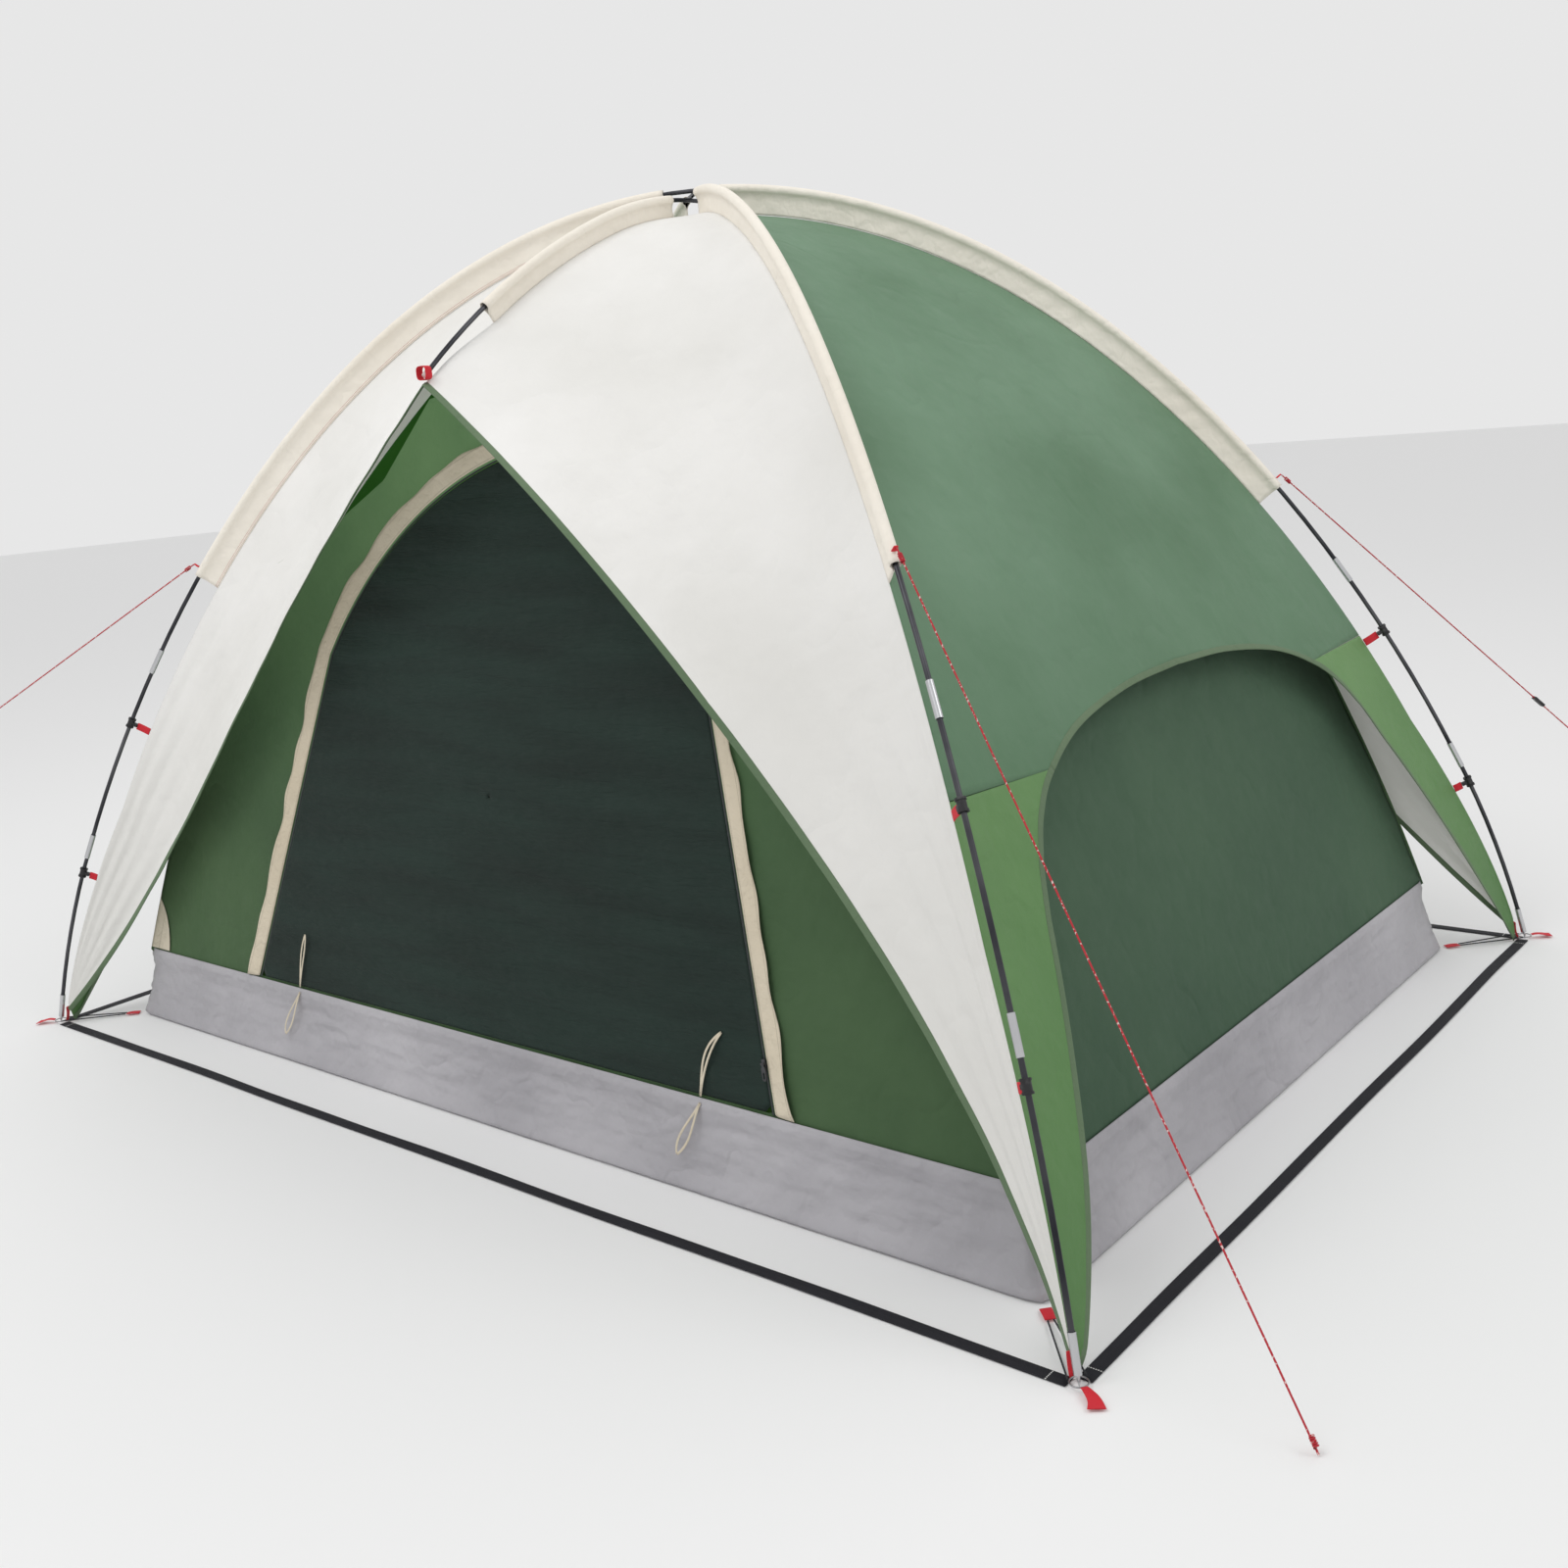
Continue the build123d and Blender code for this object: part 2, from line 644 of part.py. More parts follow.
STRAP_WIDTH, STRAP_CLOTH, STRAP_START = 25.0, 1.6, 15.8
for name, y_side in (("strap_front", -1), ("strap_back", 1)):
    with BuildPart() as strap:
        with Locations((0, y_side * HALF_Y, 0)):
            Box(FOOT_SPAN_X - 2 * STRAP_START, STRAP_WIDTH, STRAP_CLOTH,
                align=(Align.CENTER, Align.CENTER, Align.MIN))
    save(strap.part, name)
for name, x_side in (("strap_left", -1), ("strap_right", 1)):
    with BuildPart() as strap:
        with Locations((x_side * HALF_X, 0, 0)):
            Box(STRAP_WIDTH, FOOT_SPAN_Y - 2 * STRAP_START, STRAP_CLOTH,
                align=(Align.CENTER, Align.CENTER, Align.MIN))
    save(strap.part, name)


# ---------------------------------------------------------------- inner tent
def corner_x(z):
    """Half the inner tent's width at a height."""
    metres = z / 1000
    return FLOOR_X - 212 * metres - 143 * metres**2


def wall_y(z):
    """Half the inner tent's depth at a height."""
    return FLOOR_Y - WALL_LEAN * z


with BuildPart() as tub:
    for inset, mode in ((0, Mode.ADD), (CLOTH, Mode.SUBTRACT)):
        with BuildSketch(Plane.XY.offset(inset)):
            Rectangle(2 * (FLOOR_X - inset), 2 * (FLOOR_Y - inset))
        with BuildSketch(Plane.XY.offset(TUB_HEIGHT)):
            Rectangle(2 * (corner_x(TUB_HEIGHT) - inset), 2 * (wall_y(TUB_HEIGHT) - inset))
        loft(ruled=True, mode=mode)
save(tub.part, "bathtub_floor")

SLANT = sqrt(1 + WALL_LEAN**2)  # length along a leaning wall for each unit of height
FRONT_PLANE = Plane(origin=(0, CLOTH - FLOOR_Y, 0), x_dir=(1, 0, 0), z_dir=(0, -1, WALL_LEAN))
BACK_PLANE = Plane(origin=(0, FLOOR_Y - CLOTH, 0), x_dir=(-1, 0, 0), z_dir=(0, 1, WALL_LEAN))


TOP_EDGE = ((corner_x(EAVES), EAVES), (620, 1200), (400, 1310), (250, 1470), (0, INNER_PEAK))


def mirrored(half):
    """A line of points from the right to the middle, carried on to the left."""
    return list(half) + [(-x, z) for x, z in reversed(half[:-1])]


def wall_outline():
    """An end wall's outline, drawn in its own leaning plane."""
    heights = (TUB_HEIGHT + SEAM_GAP, 450, 744)
    right = [(corner_x(z), z * SLANT) for z in heights]
    left = [(-x, v) for x, v in reversed(right)]
    Polyline(*right, *mirrored([(x, z * SLANT) for x, z in TOP_EDGE]), *left, close=True)


def door_face(grow=0.0, mode=Mode.ADD):
    """The door's D-shaped outline in the wall's plane, grown outwards by some margin above its sill."""
    shoulder_x, shoulder_z = DOOR_SHOULDER
    sill = DOOR_SILL * SLANT
    with BuildSketch(mode=Mode.PRIVATE) as outline:
        with BuildLine():
            right = Line((DOOR_HALF_SILL, sill), (shoulder_x, shoulder_z * SLANT))
            over = ThreePointArc(right @ 1, (485, 1180 * SLANT), (130, DOOR_TOP * SLANT))
            down = ThreePointArc(over @ 1, (-250, 1235 * SLANT), (-shoulder_x + 20, 930 * SLANT))
            left = Line(down @ 1, (-DOOR_HALF_SILL, sill))
            Line(left @ 1, right @ 0)
        make_face()
        if grow:
            offset(amount=grow, kind=Kind.INTERSECTION)
            with Locations((0, sill - 100)):
                Rectangle(3000, 200, mode=Mode.SUBTRACT)
    add(outline.sketch, mode=mode)


with BuildPart() as front_wall:
    with BuildSketch(FRONT_PLANE):
        with BuildLine():
            wall_outline()
        make_face()
        door_face(DOOR_GAP, Mode.SUBTRACT)
    extrude(amount=CLOTH)
save(front_wall.part, "inner_front_wall")

with BuildPart() as back_wall:
    with BuildSketch(BACK_PLANE):
        with BuildLine():
            wall_outline()
        make_face()
    extrude(amount=CLOTH)
save(back_wall.part, "inner_back_wall")

with BuildPart() as side_wall:
    heights = (TUB_HEIGHT + SEAM_GAP, 450, 744, EAVES)
    outer = [(corner_x(z) - 0.5, z) for z in heights]
    inner = [(corner_x(z) - 0.5 - CLOTH, z) for z in heights]
    with BuildSketch(Plane.XZ):
        with BuildLine():
            Polyline(*outer, *reversed(inner), close=True)
        make_face()
    extrude(amount=FLOOR_Y, both=True)
    with BuildSketch(Plane.YZ):
        with BuildLine():
            low, high = wall_y(0) - 2 * CLOTH, wall_y(EAVES) - 2 * CLOTH
            Polyline((-low, 0), (low, 0), (high, EAVES), (-high, EAVES), close=True)
        make_face()
    extrude(amount=FLOOR_X, mode=Mode.INTERSECT)
save(side_wall.part, "inner_right_wall")
save(mirror(side_wall.part, about=Plane.YZ), "inner_left_wall")

ROOF_LIFT = 3.0
ROOF_SECTIONS = (
    (300, ((corner_x(EAVES), EAVES), (690, 1330), (480, 1450), (260, 1590), (0, 1640))),
    (0, ((corner_x(EAVES), EAVES), (700, 1400), (500, 1540), (270, 1660), (0, INNER_CROWN))),
)


def roof_outline(half, stretch=1.0):
    """A roof section's outline: an upper line of points and the same line lower by the cloth."""
    upper = mirrored([(x, (z + ROOF_LIFT) * stretch) for x, z in half])
    lower = [(x, z - CLOTH) for x, z in reversed(upper)]
    Polyline(*upper, *lower, close=True)


with BuildPart() as roof:
    for section_plane, half, stretch in (
        (FRONT_PLANE.offset(-3), TOP_EDGE, SLANT),
        (Plane.XZ.offset(ROOF_SECTIONS[0][0]), ROOF_SECTIONS[0][1], 1.0),
        (Plane.XZ, ROOF_SECTIONS[1][1], 1.0),
        (Plane.XZ.offset(-ROOF_SECTIONS[0][0]), ROOF_SECTIONS[0][1], 1.0),
        (Plane(BACK_PLANE.offset(-3).origin, x_dir=(1, 0, 0), z_dir=-BACK_PLANE.z_dir), TOP_EDGE, SLANT),
    ):
        with BuildSketch(section_plane):
            with BuildLine():
                roof_outline(half, stretch)
            make_face()
    loft(ruled=True)
save(roof.part, "inner_roof")

with BuildPart() as door:
    with BuildSketch(FRONT_PLANE):
        door_face()
        with Locations((0, DOOR_SILL * SLANT)):
            Rectangle(3000, 6, mode=Mode.SUBTRACT)
    extrude(amount=CLOTH)
save(door.part, "door_panel")

ZIP_WIDTH = 5.0
with BuildPart() as zip_tape:
    with BuildSketch(FRONT_PLANE.offset(0.3)):
        door_face(ZIP_WIDTH)
        door_face(SEAM_GAP, Mode.SUBTRACT)
    extrude(amount=CLOTH - 0.6)
save(zip_tape.part, "door_zip")

FLAP_START = 9.5
with BuildPart() as flap:
    with BuildSketch(FRONT_PLANE.offset(CLOTH + 0.3)):
        door_face(FLAP_START + FLAP_WIDTH)
        door_face(FLAP_START, Mode.SUBTRACT)
    extrude(amount=1.5)
save(flap.part, "door_zip_flap")

ZIP_WAY = Vector(DOOR_SHOULDER[0] - DOOR_HALF_SILL, (DOOR_SHOULDER[1] - DOOR_SILL) * SLANT, 0).normalized()
ZIP_OUT = Vector(ZIP_WAY.Y, -ZIP_WAY.X, 0)
SLIDER_PLACE = Vector(DOOR_HALF_SILL, DOOR_SILL * SLANT, 0) + ZIP_WAY * 90 + ZIP_OUT * 3
SLIDER_PLANE = Plane(origin=FRONT_PLANE.from_local_coords(SLIDER_PLACE + Vector(0, 0, CLOTH + 0.5)),
                     x_dir=FRONT_PLANE.from_local_coords(ZIP_OUT) - FRONT_PLANE.origin,
                     z_dir=FRONT_PLANE.z_dir)
PIN_HEIGHT = 6.4   # the pull's hinge pin above the slider's back
PIN_RADIUS = 1.1
EAR_INSIDE = 2.8
EAR = 1.2
with BuildPart() as zip_slider:
    with BuildSketch(SLIDER_PLANE):
        Trapezoid(10.5, 16, 84)
    extrude(amount=4)
    with BuildSketch(SLIDER_PLANE.offset(4)):
        with Locations((EAR_INSIDE + EAR / 2, 0), (-EAR_INSIDE - EAR / 2, 0)):
            Rectangle(EAR, 4)
    extrude(amount=PIN_HEIGHT + 1.7 - 4)
    pin_plane = Plane(origin=SLIDER_PLANE.from_local_coords((-EAR_INSIDE - 0.2, 0, PIN_HEIGHT)),
                      z_dir=SLIDER_PLANE.x_dir)
    with BuildSketch(pin_plane):
        Circle(PIN_RADIUS)
    extrude(amount=2 * EAR_INSIDE + 0.4)
save(zip_slider.part, "zip_slider")

EYE_RADIUS = 2.1
with BuildPart() as zip_pull:
    eye_plane = Plane(origin=SLIDER_PLANE.from_local_coords((-EAR_INSIDE + 0.4, 0, PIN_HEIGHT)),
                      z_dir=SLIDER_PLANE.x_dir)
    with BuildSketch(eye_plane):
        Circle(EYE_RADIUS)
    extrude(amount=2 * EAR_INSIDE - 0.8)
    with BuildSketch(SLIDER_PLANE.offset(PIN_HEIGHT - 0.8)):
        with Locations((0, -3.5)):
            Rectangle(2 * EAR_INSIDE - 0.8, 7)
        with Locations((0, -17.5)):
            SlotOverall(26, 9, rotation=90)
        with Locations((0, -21)):
            SlotOverall(12, 4, rotation=90, mode=Mode.SUBTRACT)
    extrude(amount=1.6)
    with BuildSketch(eye_plane.offset(-1)):
        Circle(PIN_RADIUS + 0.35)
    extrude(amount=2 * EAR_INSIDE + 2, mode=Mode.SUBTRACT)
save(zip_pull.part, "zip_pull")


def wall_place(x, z, out):
    """A point in front of the front wall, at a height and a distance out from its cloth."""
    return FRONT_PLANE.from_local_coords(Vector(x, z * SLANT, CLOTH + out))


with BuildPart() as tie_loops:
    for x in (-628.0, 640.0):
        for low, high, lean in ((TUB_HEIGHT + 10, 305.0, 14.0), (62.0, TUB_HEIGHT - 6, -26.0)):
            start, end = wall_place(x, low, 4.6), wall_place(x + lean, high, 4.6)
            with BuildPart(mode=Mode.PRIVATE) as loop:
                add(flat_ribbon(start, end, 18, 1.2, (1, 0, 0)))
                inset = (end - start).normalized() * 8
                add(flat_ribbon(start + inset, end - inset, 10, 3, (1, 0, 0)), mode=Mode.SUBTRACT)
            add(loop.part)
save(tie_loops.part, "door_tie_loops")

PATCH = 1.2
with BuildPart() as patch:
    with BuildSketch(FRONT_PLANE.offset(CLOTH + 0.3)):
        with BuildLine():
            low, high = (TUB_HEIGHT + 14), 320.0
            edge = Polyline((-corner_x(low) + 95, low * SLANT), (-corner_x(low) + 4, low * SLANT),
                            (-corner_x(high) + 4, high * SLANT))
            ThreePointArc(edge @ 1, (-corner_x(low) + 50, 245 * SLANT), edge @ 0)
        make_face()
    extrude(amount=PATCH)
save(patch.part, "corner_patch")

TAB_REACH = 34.0
with BuildPart() as corner_tabs:
    for leg, (x_side, y_side) in LEGS.items():
        corner = Vector(x_side * FLOOR_X, y_side * FLOOR_Y, 3.0)
        way = (Vector(*on_leg(leg, curve_point(0))) - corner + Vector(0, 0, 8)).normalized()
        add(flat_ribbon(corner + way * 1.5, corner + way * TAB_REACH, 20, TAB_CLOTH, leg_normals(leg)))
save(corner_tabs.part, "floor_corner_tabs")

ELASTIC_RADIUS = 1.5
with BuildPart() as elastics:
    for leg, (x_side, y_side) in LEGS.items():
        corner = Vector(x_side * FLOOR_X, y_side * FLOOR_Y, 3.0)
        foot = Vector(*on_leg(leg, curve_point(0))) + Vector(0, 0, 8)
        way = (foot - corner).normalized()
        for side in (-1, 1):
            across = leg_normals(leg) * side
            add(tube_between(corner + way * (TAB_REACH + 2.5) + across * 5, foot - way * 10 + across * 14.5,
                             ELASTIC_RADIUS))
save(elastics.part, "floor_corner_elastics")

with BuildPart() as hangers:
    for leg, (x_side, y_side) in LEGS.items():
        eave = Vector(x_side * (corner_x(EAVES) + 3), y_side * (wall_y(EAVES) + 3), EAVES + 3)
        seam = Vector(*on_leg(leg, seam_point(share_at(1250))))
        way = (seam - eave).normalized()
        add(tube_between(eave + way * 3, seam - way * 23, 2.5))
    add(tube_between((0, 0, INNER_CROWN + 5), (0, 0, CROWN_HEIGHT - SLEEVE_DEPTH - 6), 2.5))
save(hangers.part, "inner_hanging_elastics")


# ---------------------------------------------------------------- guy lines
def guy_start(leg):
    """Where a guy line leaves the loop on its sleeve's lower end."""
    return Vector(*on_leg(leg, inward(share_at(SLEEVE_END + 6), -24), lift_at(0.3, LEG_SIGN[leg])))


with BuildPart() as guy_loops:
    for leg in LEGS:
        root = Vector(*on_leg(leg, inward(share_at(SLEEVE_END + 6), -11.8), lift_at(0.3, LEG_SIGN[leg])))
        add(flat_ribbon(root, guy_start(leg), 12, 3, leg_normals(leg)))
save(guy_loops.part, "guy_line_loops")

for leg, end in GUY_ENDS.items():
    with BuildPart() as guy:
        start, stop = guy_start(leg), Vector(*end)
        way = (stop - start).normalized()
        add(tube_between(start + way * 2.5, stop, GUY_RADIUS))
    save(guy.part, f"guy_line_{leg}")

with BuildPart() as guy_slider:
    start, stop = guy_start("back_right"), Vector(*GUY_ENDS["back_right"])
    way = (stop - start).normalized()
    place = start + (stop - start) * GUY_SLIDER_SHARE
    add(flat_ribbon(place - way * 16, place + way * 16, 14, 7, (1, -1, 0)))
    add(tube_between(place - way * 20, place + way * 20, GUY_RADIUS + 0.6), mode=Mode.SUBTRACT)
save(guy_slider.part, "guy_line_slider")
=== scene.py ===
"""Looks of a dome tent on two crossed poles and a ridge pole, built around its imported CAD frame."""
import logging
from dataclasses import dataclass, field
from enum import Enum
from functools import lru_cache
from math import cos, pi, radians, sin

import bpy
import numpy as np
from mathutils import Matrix, Vector

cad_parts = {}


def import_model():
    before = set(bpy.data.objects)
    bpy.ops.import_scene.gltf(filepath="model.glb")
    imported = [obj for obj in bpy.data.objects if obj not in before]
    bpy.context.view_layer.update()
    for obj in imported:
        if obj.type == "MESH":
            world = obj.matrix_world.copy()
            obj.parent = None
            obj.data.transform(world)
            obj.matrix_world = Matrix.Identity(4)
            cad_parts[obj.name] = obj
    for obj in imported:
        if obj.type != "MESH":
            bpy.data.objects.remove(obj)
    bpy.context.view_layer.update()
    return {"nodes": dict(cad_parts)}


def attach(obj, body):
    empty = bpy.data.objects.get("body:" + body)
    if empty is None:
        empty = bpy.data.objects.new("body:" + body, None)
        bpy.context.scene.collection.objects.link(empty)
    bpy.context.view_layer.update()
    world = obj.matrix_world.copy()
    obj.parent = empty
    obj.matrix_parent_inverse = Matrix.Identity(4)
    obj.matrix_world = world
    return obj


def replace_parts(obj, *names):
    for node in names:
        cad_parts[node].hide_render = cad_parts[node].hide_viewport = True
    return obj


log = logging.getLogger("tent")

# Sizes shared by several sub-assemblies, in metres
HALF_X, HALF_Y = 1.5, 1.08
CROWN = 1.881
FULLNESS = 0.79
HALF_DIAGONAL = float(np.hypot(HALF_X, HALF_Y))
POLE_LIFT = 0.0052
SLEEVE_DEPTH = 0.052
RIDGE_DEPTH = 0.036
PEAK_Y, PEAK_Z = 0.818, 1.485
FLOOR_X, FLOOR_Y = 1.36, 0.935
TUB_HEIGHT = 0.165
WALL_LEAN = 0.22
SLANT = float(np.hypot(1, WALL_LEAN))
EAVES, WALL_PEAK, ROOF_CROWN = 1.085, 1.505, 1.715
SILL = 0.178
GUY_LOOP_AT = 1.281  # along a pole from its foot
LOOP_REACH = 0.024
Array = np.ndarray


class Leg(Enum):
    """One of the tent's four corners, with the signs of its x and y."""

    FRONT_LEFT = (-1, -1)
    FRONT_RIGHT = (1, -1)
    BACK_LEFT = (-1, 1)
    BACK_RIGHT = (1, 1)

    @property
    def label(self) -> str:
        """The corner's name as the frame's nodes spell it."""
        return self.name.lower()

    @property
    def over(self) -> int:
        """1 on the crossed pole that lies on top and -1 on the one below it."""
        return -1 if self.value[0] * self.value[1] < 0 else 1

    def place(self, flat: Array, lift: float | Array = 0.0) -> Array:
        """Points of the leg's upright plane as points of space.

        Args:
            flat: distances from the middle and heights, in the last axis.
            lift: how much higher the points lie.

        Returns:
            The points, with x, y and z in the last axis.
        """
        reach = flat[..., 0] / HALF_DIAGONAL
        x_sign, y_sign = self.value
        return np.stack([x_sign * HALF_X * reach, y_sign * HALF_Y * reach, flat[..., 1] + lift], -1)

    @property
    def outward(self) -> Array:
        """The level direction from the tent's middle to the corner."""
        return unit(np.array([self.value[0] * HALF_X, self.value[1] * HALF_Y, 0.0]))

    @property
    def across(self) -> Array:
        """The level direction square to the leg's plane."""
        return unit(np.array([self.value[1] * HALF_Y, -self.value[0] * HALF_X, 0.0]))


# ------------------------------------------------------------------ arrays
def unit(vectors: Array) -> Array:
    """Vectors scaled to a length of one along their last axis."""
    return vectors / np.maximum(np.linalg.norm(vectors, axis=-1, keepdims=True), 1e-12)


def smooth(value: Array | float, low: float, high: float) -> Array:
    """A smooth step: 0 below low, 1 above high and a cubic between them."""
    t = np.clip((np.asarray(value, float) - low) / (high - low), 0, 1)
    return t * t * (3 - 2 * t)


def bump(value: Array, middle: float, width: float) -> Array:
    """A bell curve of height one round a middle."""
    return np.exp(-(((value - middle) / width) ** 2))


def ripple(value: Array, seed: int, waves: int = 6, low: float = 1.0, high: float = 6.0) -> Array:
    """A sum of sines with seeded frequencies and phases, between about -1 and 1.

    Args:
        value: where to read it.
        seed: picks the frequencies, phases and sizes.
        waves: how many sines there are.
        low: the lowest frequency.
        high: the highest frequency.

    Returns:
        The sum, over the sizes' own sum.
    """
    random = np.random.default_rng(seed)
    rates, turns = random.uniform(low, high, waves), random.uniform(0, 2 * pi, waves)
    sizes = random.uniform(0.4, 1.0, waves)
    return np.tensordot(np.sin(np.multiply.outer(value, rates) * 2 * pi + turns), sizes, 1) / sizes.sum()


def crumple(u: Array, v: Array, seed: int, count: int = 26, low: float = 2.0, high: float = 9.0) -> Array:
    """Crossing soft folds over a cloth: a sum of plane waves in seeded directions, sharpened a little.

    Args:
        u: distances one way.
        v: distances the other way.
        seed: picks the waves.
        count: how many waves there are.
        low: the lowest frequency.
        high: the highest frequency.

    Returns:
        The folds' height, of the order of one.
    """
    random = np.random.default_rng(seed)
    total = np.zeros(np.broadcast(u, v).shape)
    for _ in range(count):
        turn, rate = random.uniform(0, pi), random.uniform(low, high)
        wave = np.sin(2 * pi * rate * (u * cos(turn) + v * sin(turn)) + random.uniform(0, 2 * pi))
        total += random.uniform(0.3, 1.0) * (1 - 2 * np.abs(wave) ** 0.8) * 3.0 / rate
    return total / count**0.5


def resample(points: Array, count: int) -> Array:
    """A polyline's points set out again at equal steps along its length.

    Args:
        points: the polyline.
        count: how many points to give.

    Returns:
        The new points.
    """
    steps = np.r_[0, np.cumsum(np.linalg.norm(np.diff(points, axis=0), axis=1))]
    at = np.linspace(0, steps[-1], count)
    return np.stack([np.interp(at, steps, points[:, k]) for k in range(points.shape[1])], -1)


def lengths(points: Array, axis: int = 0) -> Array:
    """Length along a row of points, from its start to each point."""
    gaps = np.linalg.norm(np.diff(points, axis=axis), axis=-1)
    return np.concatenate([np.zeros_like(np.take(gaps, [0], axis)), np.cumsum(gaps, axis)], axis)


def pole_curve(u: Array | float) -> Array:
    """A crossed pole in its own plane: the crown's height times (1 - (1-u)^2) to the power of its fullness."""
    u = np.asarray(u, float)
    return np.stack([HALF_DIAGONAL * (1 - u), CROWN * np.clip(1 - (1 - u) ** 2, 0, None) ** FULLNESS], -1)


def pole_inward(u: Array | float, depth: Array | float) -> Array:
    """The pole's curve moved in towards the tent by a depth, square to the curve.

    Args:
        u: shares of the half pole from its foot.
        depth: how far in, or out where it is negative.

    Returns:
        The points in the pole's plane.
    """
    u = np.asarray(u, float)
    run = unit(pole_curve(np.minimum(1, u + 0.004)) - pole_curve(np.maximum(0.001, u - 0.004)))
    return pole_curve(u) + np.stack([-run[..., 1], run[..., 0]], -1) * np.asarray(depth)[..., None]


def seam_depth(u: Array | float) -> Array:
    """How far the fly's corner seam lies inside the pole: little at the foot and constant above it."""
    return SLEEVE_DEPTH - 0.036 * np.clip(1 - np.asarray(u, float) / 0.12, 0, None)


def seam_curve(u: Array | float) -> Array:
    """The fly's corner seam in the pole's plane."""
    return pole_inward(u, seam_depth(u))


@lru_cache(maxsize=1)
def pole_table() -> tuple[Array, Array]:
    """Shares of a half pole and the lengths along it from its foot."""
    shares = np.linspace(0, 1, 4001)
    return shares, lengths(pole_curve(shares))


def share_at(length: Array | float) -> Array:
    """The share of a half pole at a length along it from its foot."""
    shares, travelled = pole_table()
    return np.interp(length, travelled, shares)


def arc_through(first: tuple, middle: tuple, last: tuple, count: int) -> Array:
    """Points of the circle's arc through three points of a plane, at equal turns about its centre.

    Args:
        first: the arc's start.
        middle: a point on it.
        last: its end.
        count: how many points to give.

    Returns:
        The points, one row each.
    """
    (ax, ay), (bx, by), (cx, cy) = first, middle, last
    scale = 2 * (ax * (by - cy) + bx * (cy - ay) + cx * (ay - by))
    a, b, c = ax**2 + ay**2, bx**2 + by**2, cx**2 + cy**2
    centre = np.array([(a * (by - cy) + b * (cy - ay) + c * (ay - by)) / scale,
                       (a * (cx - bx) + b * (ax - cx) + c * (bx - ax)) / scale])
    turns = np.unwrap([np.arctan2(p[1] - centre[1], p[0] - centre[0]) for p in (first, middle, last)])
    at = np.interp(np.linspace(0, 2, count), [0, 1, 2], turns)
    radius = np.hypot(ax - centre[0], ay - centre[1])
    return centre + radius * np.stack([np.cos(at), np.sin(at)], -1)


@lru_cache(maxsize=1)
def ridge_line() -> Array:
    """The ridge pole from the crown to its front tip: distances forward and heights.

    Returns:
        The points, one row each.
    """
    crown_z = CROWN - POLE_LIFT - 0.01
    inner = arc_through((0.0, crown_z), (0.1338, 1.8544), (0.262, 1.822), 40)
    outer = arc_through((0.262, 1.822), (0.545, 1.692), (0.8, 1.512), 60)
    return np.vstack([inner, outer[1:]])


@lru_cache(maxsize=1)
def ridge_seam() -> Array:
    """The fly's seam under the ridge pole, down to the peak: distances forward and heights.

    Returns:
        The points, one row each.
    """
    line = ridge_line()
    run = unit(np.gradient(line, axis=0))
    depth = (RIDGE_DEPTH + 0.001) * (1 - 0.62 * smooth(line[:, 0], 0.62, 0.8))
    seam = line + np.stack([run[:, 1], -run[:, 0]], -1) * depth[:, None]
    clear = seam[(seam[:, 0] > 0.02) & (seam[:, 0] < 0.79)]
    return np.vstack([[0, CROWN - SLEEVE_DEPTH], clear, [PEAK_Y, PEAK_Z]])


def front_hem(x: Array | float) -> Array:
    """The end opening's edge at x from the middle: distance forward and height.

    Args:
        x: distances from the middle.

    Returns:
        Distance forward and height in the last axis.
    """
    share = np.asarray(x, float) / HALF_X
    forward = PEAK_Y + 0.1 * share**1.25 + 0.164 * share**7
    height = 1.5 * (1 - share) + 0.36 * share * (1 - share) - (1.5 - PEAK_Z) * (1 - share) ** 6
    return np.stack([forward, height], -1)


def corner_x(z: Array | float) -> Array:
    """Half the inner tent's width at a height."""
    z = np.asarray(z, float)
    return FLOOR_X - 0.212 * z - 0.143 * z**2


def wall_y(z: Array | float) -> Array:
    """Half the inner tent's depth at a height."""
    return FLOOR_Y - WALL_LEAN * np.asarray(z, float)


